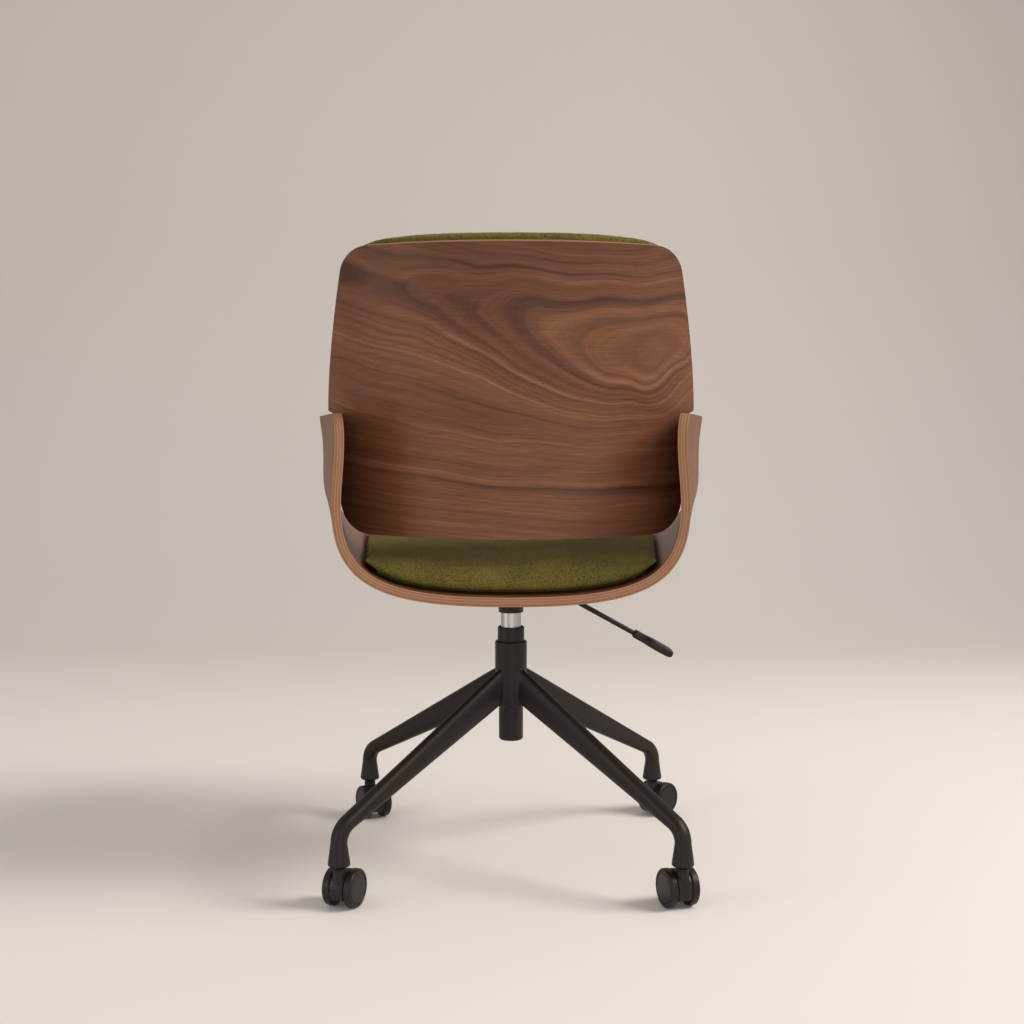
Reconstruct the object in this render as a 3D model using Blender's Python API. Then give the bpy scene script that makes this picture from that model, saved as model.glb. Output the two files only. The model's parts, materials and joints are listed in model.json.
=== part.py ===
# Swivel office armchair: a bent-plywood shell and curved back on a four-legged caster base.
# Metres, +Z up. The origin is on the floor under the column. The sitter faces -Y, and the
# sitter's right is -X.

import math

import bmesh
import bpy
from mathutils import Matrix, Vector

# Clearances
SEAT_GAP = 0.0003          # between faces that rest on each other
RUNNING_GAP = 0.0003       # radial play of a shaft or sliding fit
CUT_PAST = 0.0100          # how far a cutting form stands past what it cuts
EDGE_CHAMFER = 0.0010      # on the ends of turned steel pieces
ROUND = 24                 # sides of a large turned piece that shows
INNER_ROUND = 20           # sides of a turned piece inside the column
SMALL_ROUND = 16           # sides of a small turned piece
FILLET_MIDDLE = 1 - math.cos(math.pi / 4)    # a fillet's middle, as a share of its radius
AXIS_MARK = 0.0300         # how large the joints' empties are drawn

# Gas spring and column, worked outwards from the cylinder
CYLINDER_RADIUS = 0.0140
CYLINDER_WALL = 0.0018
CYLINDER_TAPER = 0.0008
BUSH_WALL = 0.0018
BUSH_LENGTH = 0.0810
COLUMN_WALL = 0.0020
COLUMN_ABOVE_HUB = 0.0200
COLUMN_BELOW_HUB = 0.0467
COLUMN_LOWER_WALL = 0.0020
COLUMN_LOWER_PLAY = 0.0008
COLUMN_RIM = 0.0010
COLUMN_RECESS = 0.0055
COLUMN_FLOOR = 0.0025
RECESS_RADIUS = 0.0125
ROD_RADIUS = 0.0050
ROD_PLAY = 0.0008
PISTON_HEIGHT = 0.0080
PISTON_HEADROOM = 0.0060
ROD_GUIDE_INSET = 0.0010
LIFT_TRAVEL = 0.1000
RACE_RADIUS = 0.0135
RACE_THICKNESS = 0.0012
CAGE_RADIUS = 0.0125
CAGE_THICKNESS = 0.0012
BALL_RADIUS = 0.0011
BALL_COUNT = 8
BUMPER_RADIUS = 0.0115
BUMPER_HEIGHT = 0.0050
CLIP_RADIUS = 0.0110
CLIP_THICKNESS = 0.0030

# Star base
HUB_WALL = 0.0037
HUB_ABOVE_LEGS = 0.0520    # from the legs' middle line on the column axis to the hub's top
HUB_BELOW_LEGS = 0.0400
HUB_ROUNDING = 0.0020
HUB_FOOT_CHAMFER = 0.0040
TAPER_BELOW_TOP = 0.0092   # from the hub's top down to the upper end of the column's taper
CASTER_SPACING = 0.4340    # between caster stems, side to side and front to back
LEG_LINE_HEIGHT = 0.2555   # height where the leg's middle line would meet the column axis
KNEE_RISE = 0.0458         # from the sleeve's bottom to where the leg's and sleeve's lines meet
LEG_ROOT_HEIGHT = 0.0473
LEG_KNEE_HEIGHT = 0.0203
LEG_ROOT_WIDTH = 0.0150
LEG_KNEE_WIDTH = 0.0205
LEG_START = 0.0100
KNEE_BEND_RADIUS = 0.0280
SLEEVE_RADIUS = 0.0137
SLEEVE_BOTTOM = 0.0560
SLEEVE_CHAMFER = 0.0025
LEG_SIDES = 12
LEG_ROUNDNESS = 2.4

# Casters
WHEEL_RADIUS = 0.0250
WHEEL_WIDTH = 0.0110
WHEEL_ROUNDING = 0.0030
WHEEL_FACE_STEP = 0.0006
WHEEL_SIDES = 20
WHEEL_FACE_SHARE = 0.82    # the raised ring's inner radius, as a share of the wheel's
WHEEL_CAP_WALL = 0.0026
HOOD_RADIUS = 0.0242
HOOD_WIDTH = 0.0180
HOOD_SKIN = 0.0035
HOOD_CLEARANCE = 0.0127    # floor to the hood's lower edge
HOOD_SIDE_WALL = 0.0028
HOOD_STEPS = 11
WHEEL_SIDE_GAP = 0.0004
CASTER_TRAIL = 0.0140
BOSS_RADIUS = 0.00825
BOSS_TOP = 0.0508
BOSS_BOTTOM = 0.0290
AXLE_RADIUS = 0.0030
STEM_RADIUS = 0.0055
STEM_FOOT_RADIUS = 0.0042
STEM_LENGTH = 0.0340       # the part inside the sleeve
STEM_COLLAR = 0.0024
STEM_FLOOR = 0.0035        # boss material under the stem

# Seat mechanism
SEAT_ABOVE_COLUMN = 0.0563    # from the column's top to the shell's underside, seat down
PLATE_THICKNESS = 0.0030
PLATE_WIDTH = 0.1040
PLATE_LENGTH = 0.1700
PLATE_CORNER = 0.0120
PAN_WIDTH = 0.1000
PAN_LENGTH = 0.0900
PAN_DEPTH = 0.0190
PAN_SHEET = 0.0020
PAN_CORNER = 0.0100
SOCKET_LENGTH = 0.0270
SOCKET_WALL = 0.0030
SOCKET_ROUNDING = 0.0015
SOCKET_FLANGE_RADIUS = 0.0210
SOCKET_FLANGE = 0.0020
SOCKET_OVER_CYLINDER = 0.0025
BOLT_SPACING_X = 0.0840
BOLT_SPACING_Y = 0.1440
BOLT_RADIUS = 0.0030
BOLT_HEAD_RADIUS = 0.0055
BOLT_HEAD_HEIGHT = 0.0035
BOLT_SIDES = 12
BOLT_SHORT = 0.0010        # from the bolt's end to the shell's upper face
NUT_WALL = 0.0010
NUT_FLANGE_RADIUS = 0.0085
NUT_FLANGE = 0.0012
NUT_BARREL_LENGTH = 0.0085

# Height lever
LEVER_PIVOT_X = -0.0300
LEVER_PIVOT_DROP = 0.0090
LEVER_RANGE = math.radians(6.0)
LEVER_ROD_RADIUS = 0.0034
ROD_SIDES = 12
LEVER_BEND_X = -0.0732
LEVER_BEND_RADIUS = 0.0100
LEVER_SLOPE = math.radians(28.97)
LEVER_ROD_END = 0.1220     # from the bend's corner to the rod's end in the paddle
PADDLE_START = 0.1110
PADDLE_LENGTH = 0.0605
PADDLE_WIDTH = 0.0270
PADDLE_NECK_WIDTH = 0.0135
PADDLE_THICKNESS = 0.0122
PADDLE_SIDES = 16
PADDLE_SQUARENESS = 4.0
TRIGGER_WIDTH = 0.0080
TRIGGER_BLOCK_LEFT = -0.0465
TRIGGER_BLOCK_RIGHT = -0.0240
TRIGGER_BLOCK_BELOW = 0.0060
TRIGGER_FINGER = 0.0030
TRIGGER_FINGER_TIP = 0.0035
TRIGGER_FINGER_DROP = 0.0009
TRIGGER_CORNER = 0.0010    # cut off the trigger's lower corner, and its neck's first step
TRIGGER_NECK = 0.0020      # how far the neck's edges lean
ROD_SOCKET_DEPTH = 0.0120
PIVOT_PIN_RADIUS = 0.0020
PIVOT_PIN_HEAD = 0.0032
PIVOT_PIN_HEAD_HEIGHT = 0.0012
PIVOT_PIN_TAIL = 0.0015    # how far its plain end stands out of the ear
SLOT_PLAY = 0.0010
EAR_SHEET = 0.0020
EAR_FOOT = 0.0010
EAR_HALF_LENGTH = 0.0045
EAR_SIDE_PLAY = 0.0005
PIN_RADIUS = 0.0030
PIN_PLAY = 0.0004
PIN_STAND = 0.0043
PIN_LENGTH = 0.0183
PIN_TIP = 0.0016           # height of the pin's rounded end
PIN_WELL = 0.0200
CAVITY_ROOF = 0.0040

# Plywood shell: half of its rear outline, as two joined Bezier curves in X and Z. Each rise
# is a height above the shell's underside.
SHELL_THICKNESS = 0.0124
SHELL_FLOOR_REACH = 0.1550
SHELL_HALF_WIDTH = 0.2226
SHELL_CORNER_PULL = 0.0212
SHELL_WIDEST_RISE = 0.1242
ARM_LOWER_PULL = 0.0370
ARM_WAIST = 0.2140
ARM_WAIST_RISE = 0.1912
ARM_TOP_HALF_WIDTH = 0.2180
ARM_RISE = 0.2427
SHELL_CURVE_SPLIT = 0.62   # share of the outline's steps below its widest point
SHELL_REAR_Y = 0.2070
ARM_REAR_LEAN = 0.0230
SHELL_FRONT_Y = -0.2620
ARM_FRONT_Y = 0.0300
ARM_RISE_START = 0.30
ARM_FLARE_TOP = math.radians(12.134)
ARM_FLARE_LEAST = math.radians(2.577)
ARM_FLARE_DROP = 0.2576    # the height over which the flare lessens, from the arm's top down
ARM_TOP_FALL = math.radians(2.405)
ARM_REAR_CORNER = 0.0250
ARM_FRONT_CORNER = 0.0240
SHELL_LOWER_COLUMNS = 11
SHELL_UPPER_COLUMNS = 8
SHELL_COLUMN_POWER = 1.60  # above 1 sets the upper columns closer towards the arm's top
SHELL_ROWS = 6

# Back panel
PANEL_THICKNESS = 0.0120
PANEL_RADIUS = 0.2800
PANEL_BOTTOM_RISE = 0.0839
PANEL_HEIGHT = 0.3640
PANEL_BOTTOM_Y = 0.1950
PANEL_TOP_Y = 0.2690
PANEL_RECLINE_POWER = 1.30
PANEL_TOP_HALF_WIDTH = 0.2092
PANEL_SHOULDER_HALF_WIDTH = 0.2405
PANEL_SHOULDER_RISE = 0.0010
PANEL_TAIL_HALF_WIDTH = 0.2312
PANEL_FOOT_HALF_WIDTH = 0.2235
PANEL_SHOULDER_DROP = 0.0055
PANEL_TOP_CORNER = 0.0280
PANEL_BOTTOM_CORNER = 0.0400
PANEL_COLUMNS = 32

# Upholstery and its boards
BOARD_THICKNESS = 0.0050
BACK_BOARD_GAP = 0.0006
CUSHION_GAP = 0.0008
SEAT_BOARD_SHARE = 0.33    # of the shell's outline, each way from its middle
SEAT_BOARD_FRONT_Y = -0.2200
SEAT_BOARD_REAR_Y = 0.1600
SEAT_CUSHION_SHARE = 0.40
SEAT_CUSHION_FRONT_Y = -0.2480
SEAT_CUSHION_REAR_Y = 0.1930
SEAT_CUSHION_RISE = 0.0642
BACK_BOARD_HALF_WIDTH = 0.1600
BACK_BOARD_MARGIN = 0.0350
BACK_CUSHION_TOP_MARGIN = 0.0100
BACK_CUSHION_LOW_MARGIN = 0.0260
BACK_CUSHION_ABOVE_FOOT = 0.0103    # from the panel's bottom to the cushion's
BACK_CUSHION_ABOVE_TOP = 0.0043
BACK_CUSHION_THICKNESS = 0.0500
BACK_CUSHION_NARROWING = 0.0800    # the height over which it draws in, about the arms' top
CUSHION_EDGE = 0.0120          # thickness of a cushion's border
CUSHION_CORNER_SHARE = 0.03    # how far a cushion's corners are drawn in, of its reach
CUSHION_SIDE_POWER = 10        # higher keeps the sides straighter up to the corners
CUSHION_ROUNDNESS = 3.0
CUSHION_COLUMNS = 14
CUSHION_ROWS = 12

# Hidden brackets between back panel and arms
BRACKET_THICKNESS = 0.0025
BRACKET_GAP = 0.0005
BRACKET_HEIGHT = 0.0300
BRACKET_ABOVE_CORNER = 0.0223      # from the panel's lower corner to the lower bracket's middle
BRACKET_SPACING = 0.0600
BRACKET_PANEL_REACH = (0.0520, 0.0190, 0.0)    # from the panel's side edge inwards
BRACKET_ARM_REACH = (0.0250, 0.0560)           # from the panel's side edge forwards

# How each caster stands at rest: side, end and the turn of its trail from +Y, in degrees
CASTERS = {
    "rear_left": (1, 1, 158.0),
    "rear_right": (-1, 1, 200.0),
    "front_right": (-1, -1, 135.0),
    "front_left": (1, -1, 28.0),
}

# Heights and radii that follow from the sizes above
HUB_TOP = LEG_LINE_HEIGHT + HUB_ABOVE_LEGS
HUB_BOTTOM = LEG_LINE_HEIGHT - HUB_BELOW_LEGS
COLUMN_TOP = HUB_TOP + COLUMN_ABOVE_HUB
COLUMN_BOTTOM = HUB_BOTTOM - COLUMN_BELOW_HUB
SHELL_UNDERSIDE = COLUMN_TOP + SEAT_ABOVE_COLUMN
SHELL_WIDEST_Z = SHELL_UNDERSIDE + SHELL_WIDEST_RISE
ARM_WAIST_Z = SHELL_UNDERSIDE + ARM_WAIST_RISE
ARM_TOP = SHELL_UNDERSIDE + ARM_RISE
PANEL_BOTTOM = SHELL_UNDERSIDE + PANEL_BOTTOM_RISE
PANEL_TOP = PANEL_BOTTOM + PANEL_HEIGHT
SEAT_CUSHION_TOP = SHELL_UNDERSIDE + SEAT_CUSHION_RISE
BACK_CUSHION_BOTTOM = PANEL_BOTTOM + BACK_CUSHION_ABOVE_FOOT
BACK_CUSHION_TOP = PANEL_TOP + BACK_CUSHION_ABOVE_TOP

BUSH_BORE = CYLINDER_RADIUS + RUNNING_GAP
BUSH_RADIUS = BUSH_BORE + BUSH_WALL
COLUMN_BORE = BUSH_RADIUS + SEAT_GAP
COLUMN_RADIUS = COLUMN_BORE + COLUMN_WALL
COLUMN_LOWER_BORE = CYLINDER_RADIUS + COLUMN_LOWER_PLAY
COLUMN_LOWER_RADIUS = COLUMN_LOWER_BORE + COLUMN_LOWER_WALL
HUB_RADIUS = COLUMN_RADIUS + SEAT_GAP + HUB_WALL
LEG_REACH = CASTER_SPACING / math.sqrt(2)
KNEE_CORNER_Z = SLEEVE_BOTTOM + KNEE_RISE
LEG_SLOPE = math.atan2(LEG_LINE_HEIGHT - KNEE_CORNER_Z, LEG_REACH)
BUSH_TOP = COLUMN_TOP - 2 * COLUMN_RIM
BUSH_BOTTOM = BUSH_TOP - BUSH_LENGTH
COLUMN_FLOOR_TOP = COLUMN_BOTTOM + COLUMN_RECESS + COLUMN_FLOOR
RACE_LOWER_BOTTOM = COLUMN_FLOOR_TOP + SEAT_GAP
BALL_CENTRE = RACE_LOWER_BOTTOM + RACE_THICKNESS + SEAT_GAP + BALL_RADIUS
RACE_UPPER_BOTTOM = BALL_CENTRE + BALL_RADIUS + SEAT_GAP
BUMPER_BOTTOM = RACE_UPPER_BOTTOM + RACE_THICKNESS + SEAT_GAP
CYLINDER_BOTTOM = BUMPER_BOTTOM + BUMPER_HEIGHT + SEAT_GAP
CYLINDER_BORE = CYLINDER_RADIUS - CYLINDER_WALL

PLATE_TOP = SHELL_UNDERSIDE - SEAT_GAP
PLATE_BOTTOM = PLATE_TOP - PLATE_THICKNESS
FINGER_TOP = PLATE_BOTTOM - TRIGGER_FINGER_DROP
FINGER_BOTTOM = FINGER_TOP - TRIGGER_FINGER
PIN_TOP = FINGER_BOTTOM - SEAT_GAP
CYLINDER_TOP = PIN_TOP - PIN_STAND
SOCKET_TOP = CYLINDER_TOP + SOCKET_OVER_CYLINDER
SOCKET_BOTTOM = SOCKET_TOP - SOCKET_LENGTH
PAN_BOTTOM = PLATE_BOTTOM - PAN_DEPTH
PAN_FLOOR = PAN_BOTTOM + PAN_SHEET
SOCKET_RADIUS = CYLINDER_RADIUS + SEAT_GAP + SOCKET_WALL
LEVER_PIVOT_Z = PLATE_BOTTOM - LEVER_PIVOT_DROP
CAVITY_TOP = CYLINDER_TOP - PIN_WELL - CAVITY_ROOF
PISTON_TOP = CAVITY_TOP - PISTON_HEADROOM
PISTON_BOTTOM = PISTON_TOP - PISTON_HEIGHT
ROD_GUIDE_TOP = PISTON_BOTTOM - LIFT_TRAVEL - SEAT_GAP    # meets the piston at full height
ROD_BOTTOM = COLUMN_BOTTOM + EDGE_CHAMFER / 2
STEM_TOP = SLEEVE_BOTTOM + STEM_LENGTH
SHELL_TOP = SHELL_UNDERSIDE + SHELL_THICKNESS
AXLE_HALF_LENGTH = HOOD_WIDTH / 2 + WHEEL_SIDE_GAP + WHEEL_WIDTH - WHEEL_CAP_WALL - SEAT_GAP
BRACKET_LOW_Z = PANEL_BOTTOM + PANEL_BOTTOM_CORNER + BRACKET_ABOVE_CORNER
BRACKET_LEVELS = {"lower": BRACKET_LOW_Z, "upper": BRACKET_LOW_Z + BRACKET_SPACING}


def clear_scene():
    for obj in list(bpy.data.objects):
        bpy.data.objects.remove(obj, do_unlink=True)


def make_material(name, colour, roughness, metallic=0.0):
    material = bpy.data.materials.new(name)
    material.use_nodes = True
    shader = material.node_tree.nodes["Principled BSDF"]
    shader.inputs["Base Color"].default_value = (*colour, 1.0)
    shader.inputs["Roughness"].default_value = roughness
    shader.inputs["Metallic"].default_value = metallic
    material.diffuse_color = (*colour, 1.0)
    return material


def add_object(name, mesh, material):
    mesh.materials.clear()
    mesh.materials.append(material)
    mesh.shade_smooth()
    mesh.set_sharp_from_angle(angle=math.radians(35))
    obj = bpy.data.objects.new(name, mesh)
    bpy.context.scene.collection.objects.link(obj)
    return obj


def finish_solid(name, bm, material):
    bmesh.ops.remove_doubles(bm, verts=bm.verts, dist=1e-6)
    bmesh.ops.recalc_face_normals(bm, faces=bm.faces)
    mesh = bpy.data.meshes.new(name)
    bm.to_mesh(mesh)
    bm.free()
    return add_object(name, mesh, material)


def turned(name, profile, material, sides=ROUND, closed=False, turn=None, flats_down=False):
    # A profile of (radius, height) points spun about Z, then turned to its place.
    bm = bmesh.new()
    verts = [bm.verts.new((radius, 0.0, height)) for radius, height in profile]
    edges = [bm.edges.new(pair) for pair in zip(verts, verts[1:])]
    if closed:
        edges.append(bm.edges.new((verts[-1], verts[0])))
    bmesh.ops.spin(bm, geom=verts + edges, axis=(0, 0, 1), cent=(0, 0, 0),
                   steps=sides, angle=2 * math.pi)
    if flats_down:
        half_step = Matrix.Rotation(math.pi / sides, 4, "Z")
        bmesh.ops.transform(bm, matrix=half_step, verts=bm.verts)
    if turn is not None:
        bmesh.ops.transform(bm, matrix=turn, verts=bm.verts)
    return finish_solid(name, bm, material)


def solid_rod(radius, low, high, chamfer=0.0):
    return [(0, low), (radius - chamfer, low), (radius, low + chamfer),
            (radius, high - chamfer), (radius - chamfer, high), (0, high)]


def washer(inner, outer, low, high):
    return [(inner, low), (outer, low), (outer, high), (inner, high)]


def loft(name, rings, material):
    # Joins rings that have the same number of points, and caps both ends.
    bm = bmesh.new()
    loops = [[bm.verts.new(point) for point in ring] for ring in rings]
    for lower, upper in zip(loops, loops[1:]):
        for i in range(len(lower)):
            bm.faces.new((lower[i - 1], lower[i], upper[i], upper[i - 1]))
    bm.faces.new(list(reversed(loops[0])))
    bm.faces.new(loops[-1])
    return finish_solid(name, bm, material)


def slab(name, outer, inner, material):
    # A closed sheet between two grids of points.
    bm = bmesh.new()
    sides = [[[bm.verts.new(point) for point in row] for row in grid] for grid in (outer, inner)]
    rows, columns = len(outer), len(outer[0])
    for i in range(rows - 1):
        for j in range(columns - 1):
            for grid in sides:
                bm.faces.new((grid[i][j], grid[i + 1][j], grid[i + 1][j + 1], grid[i][j + 1]))
    border = [(i, 0) for i in range(rows)] + [(rows - 1, j) for j in range(1, columns)]
    border += [(i, columns - 1) for i in range(rows - 2, -1, -1)]
    border += [(0, j) for j in range(columns - 2, 0, -1)]
    for (i, j), (k, m) in zip(border, border[1:] + border[:1]):
        bm.faces.new((sides[0][i][j], sides[0][k][m], sides[1][k][m], sides[1][i][j]))
    return finish_solid(name, bm, material)


def prism(name, outline, low, high, material, turn=None):
    # An outline of (x, y) points raised from low to high along Z.
    bm = bmesh.new()
    face = bm.faces.new([bm.verts.new((x, y, low)) for x, y in outline])
    raised = bmesh.ops.extrude_face_region(bm, geom=[face])
    top = [item for item in raised["geom"] if isinstance(item, bmesh.types.BMVert)]
    bmesh.ops.translate(bm, vec=(0, 0, high - low), verts=top)
    if turn is not None:
        bmesh.ops.transform(bm, matrix=turn, verts=bm.verts)
    return finish_solid(name, bm, material)


def rounded_rectangle(width, length, corner, steps=4):
    points = []
    for quarter in range(4):
        middle_x = (width / 2 - corner) * (1 if quarter in (0, 3) else -1)
        middle_y = (length / 2 - corner) * (1 if quarter in (0, 1) else -1)
        for step in range(steps + 1):
            angle = math.pi / 2 * (quarter + step / steps)
            points.append((middle_x + corner * math.cos(angle), middle_y + corner * math.sin(angle)))
    return points


def as_tool(obj):
    obj.hide_render = True
    obj.display_type = "WIRE"
    return obj


def combine(obj, tool, operation="DIFFERENCE"):
    modifier = obj.modifiers.new(tool.name, "BOOLEAN")
    modifier.operation = operation
    modifier.object = as_tool(tool)
    modifier.solver = "EXACT"


def settled_mesh(obj):
    # The mesh with its modifiers applied, after which the object and its tools are removed.
    depsgraph = bpy.context.evaluated_depsgraph_get()
    mesh = bpy.data.meshes.new_from_object(obj.evaluated_get(depsgraph))
    tools = [modifier.object for modifier in obj.modifiers if modifier.type == "BOOLEAN"]
    for spent in [obj] + tools:
        bpy.data.objects.remove(spent, do_unlink=True)
    return mesh


def add_axis(name, location, parent=None, turn=0.0):
    axis = bpy.data.objects.new(name, None)
    axis.empty_display_size = AXIS_MARK
    axis.location = location
    axis.rotation_euler = (0, 0, turn)
    bpy.context.scene.collection.objects.link(axis)
    bpy.context.view_layer.update()
    if parent is not None:
        carry(parent, [axis])
    return axis


def carry(parent, pieces):
    bpy.context.view_layer.update()
    for piece in pieces:
        piece.parent = parent
        piece.matrix_parent_inverse = parent.matrix_world.inverted()
    bpy.context.view_layer.update()


def bezier(points, share):
    first, second, third, fourth = points
    rest = 1 - share
    return (first * rest ** 3 + second * 3 * rest * rest * share
            + third * 3 * rest * share * share + fourth * share ** 3)


def smooth_step(share):
    share = max(0.0, min(1.0, share))
    return share * share * (3 - 2 * share)


def rounded(value, power):
    # Signed power, which turns a circle into a rounded square.
    return math.copysign(abs(value) ** (2 / power), value)


def corner_shift(distance, radius):
    # How far a rounded corner steps back at this distance from the edge.
    if distance >= radius:
        return 0.0
    inside = radius - max(0.0, distance)
    return radius - math.sqrt(radius * radius - inside * inside)


def inward_point(surface, a, b, depth, step=1e-4):
    # The surface's point moved by depth towards the sitter.
    along_a = surface(a + step, b) - surface(a - step, b)
    along_b = surface(a, b + step) - surface(a, b - step)
    return surface(a, b) + along_a.cross(along_b).normalized() * depth


def shell_outline(share):
    # Half of the rear outline, from the middle of the seat (0) to the arm's top (1).
    if share <= SHELL_CURVE_SPLIT:
        points = (Vector((0.0, SHELL_UNDERSIDE)),
                  Vector((SHELL_FLOOR_REACH, SHELL_UNDERSIDE)),
                  Vector((SHELL_HALF_WIDTH, SHELL_UNDERSIDE + SHELL_CORNER_PULL)),
                  Vector((SHELL_HALF_WIDTH, SHELL_WIDEST_Z)))
        return bezier(points, share / SHELL_CURVE_SPLIT)
    points = (Vector((SHELL_HALF_WIDTH, SHELL_WIDEST_Z)),
              Vector((SHELL_HALF_WIDTH, SHELL_WIDEST_Z + ARM_LOWER_PULL)),
              Vector((ARM_WAIST, ARM_WAIST_Z)),
              Vector((ARM_TOP_HALF_WIDTH, ARM_TOP)))
    return bezier(points, (share - SHELL_CURVE_SPLIT) / (1 - SHELL_CURVE_SPLIT))


def height_share(z):
    return (z - SHELL_UNDERSIDE) / (ARM_TOP - SHELL_UNDERSIDE)


def shell_rear_line(z):
    return SHELL_REAR_Y + ARM_REAR_LEAN * height_share(z)


def shell_surface(share, y):
    # Outer face of the shell: share runs from the right arm's top (-1) to the left arm's (1).
    x, z = shell_outline(abs(share))
    forward = shell_rear_line(z) - y
    down = min(1.0, (ARM_TOP - z) / ARM_FLARE_DROP)
    flare = math.tan(ARM_FLARE_TOP) * (1 - down) + math.tan(ARM_FLARE_LEAST) * down
    x += flare * forward * x / SHELL_HALF_WIDTH
    z -= math.tan(ARM_TOP_FALL) * forward * height_share(z)
    return Vector((math.copysign(x, share), y, z))


def shell_shares():
    # The outline shares at which the shell's sheet has its columns, from right to left.
    half = [SHELL_CURVE_SPLIT * step / SHELL_LOWER_COLUMNS for step in range(SHELL_LOWER_COLUMNS)]
    for step in range(SHELL_UPPER_COLUMNS + 1):
        left = 1 - step / SHELL_UPPER_COLUMNS
        half.append(1 - (1 - SHELL_CURVE_SPLIT) * left ** SHELL_COLUMN_POWER)
    return [-share for share in reversed(half[1:])] + half


def shell_inside(share, y, depth):
    # A point at this depth inside the shell's outer face, on the flat facet between two columns.
    shares = shell_shares()
    number = max(i for i, column in enumerate(shares[:-1]) if column <= share or i == 0)
    low, high = shares[number], shares[number + 1]
    part = (share - low) / (high - low)
    first = inward_point(shell_surface, low, y, depth)
    return first.lerp(inward_point(shell_surface, high, y, depth), part)


def shell_rear_edge(share):
    z = shell_outline(abs(share))[1]
    return shell_rear_line(z) - corner_shift(ARM_TOP - z, ARM_REAR_CORNER)


def shell_front_edge(share):
    z = shell_outline(abs(share))[1]
    rise = smooth_step((abs(share) - ARM_RISE_START) / (1 - ARM_RISE_START))
    edge = SHELL_FRONT_Y + (ARM_FRONT_Y - SHELL_FRONT_Y) * rise
    return edge + corner_shift(ARM_TOP - z, ARM_FRONT_CORNER)


def panel_line(z):
    rise = max(0.0, (z - PANEL_BOTTOM) / (PANEL_TOP - PANEL_BOTTOM))
    return PANEL_BOTTOM_Y + (PANEL_TOP_Y - PANEL_BOTTOM_Y) * rise ** PANEL_RECLINE_POWER


def panel_surface(x, z):
    # Rear face of the back panel.
    sweep = PANEL_RADIUS - math.sqrt(PANEL_RADIUS * PANEL_RADIUS - x * x)
    return Vector((x, panel_line(z) - sweep, z))


def panel_half_width(z):
    shoulder = ARM_TOP + PANEL_SHOULDER_RISE
    tail = shoulder - PANEL_SHOULDER_DROP
    if z >= shoulder:
        fall = (z - shoulder) / (PANEL_TOP - shoulder)
        width = PANEL_SHOULDER_HALF_WIDTH - (PANEL_SHOULDER_HALF_WIDTH - PANEL_TOP_HALF_WIDTH) * fall ** 1.5
    elif z >= tail:
        width = PANEL_TAIL_HALF_WIDTH + (PANEL_SHOULDER_HALF_WIDTH - PANEL_TAIL_HALF_WIDTH) \
            * (z - tail) / PANEL_SHOULDER_DROP
    else:
        drop = (tail - z) / (tail - PANEL_BOTTOM)
        width = PANEL_TAIL_HALF_WIDTH - (PANEL_TAIL_HALF_WIDTH - PANEL_FOOT_HALF_WIDTH) * drop ** 0.6
    width -= corner_shift(PANEL_TOP - z, PANEL_TOP_CORNER)
    return width - corner_shift(z - PANEL_BOTTOM, PANEL_BOTTOM_CORNER)


def panel_levels():
    # Heights of the panel's rows, closer together round its corners and shoulder.
    turns = [math.radians(90 - step * 30) for step in range(4)]
    top = [PANEL_TOP - PANEL_TOP_CORNER * (1 - math.sin(turn)) for turn in turns]
    shoulder = ARM_TOP + PANEL_SHOULDER_RISE
    tail = shoulder - PANEL_SHOULDER_DROP
    upper = [top[-1] + (shoulder - top[-1]) * step / 4 for step in range(1, 5)]
    low_start = PANEL_BOTTOM + PANEL_BOTTOM_CORNER
    lower = [tail + (low_start - tail) * step / 2 for step in range(2)]
    bottom = [PANEL_BOTTOM + PANEL_BOTTOM_CORNER * (1 - math.sin(turn)) for turn in reversed(turns)]
    return top + upper + lower + bottom


def make_materials():
    return {
        "black_metal": make_material("black_metal", (0.018, 0.016, 0.015), 0.45, 0.2),
        "black_plastic": make_material("black_plastic", (0.016, 0.014, 0.014), 0.5),
        "steel": make_material("steel", (0.62, 0.60, 0.57), 0.3, 1.0),
        "white_plastic": make_material("white_plastic", (0.75, 0.74, 0.70), 0.5),
        "rubber": make_material("rubber", (0.02, 0.02, 0.02), 0.85),
        "veneer": make_material("veneer", (0.20, 0.095, 0.055), 0.45),
        "board": make_material("board", (0.45, 0.30, 0.17), 0.7),
        "fabric": make_material("fabric", (0.075, 0.07, 0.022), 0.95),
    }


def leg_ring(radius, height, pitch, tall, wide, turn):
    # One cross-section of a leg; pitch is how steeply the leg's middle line falls there.
    ring = []
    for step in range(LEG_SIDES):
        angle = 2 * math.pi * step / LEG_SIDES
        up = tall / 2 * rounded(math.sin(angle), LEG_ROUNDNESS)
        side = wide / 2 * rounded(math.cos(angle), LEG_ROUNDNESS)
        point = Vector((radius + up * math.sin(pitch), side, height + up * math.cos(pitch)))
        ring.append(Matrix.Rotation(turn, 3, "Z") @ point)
    return ring


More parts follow.
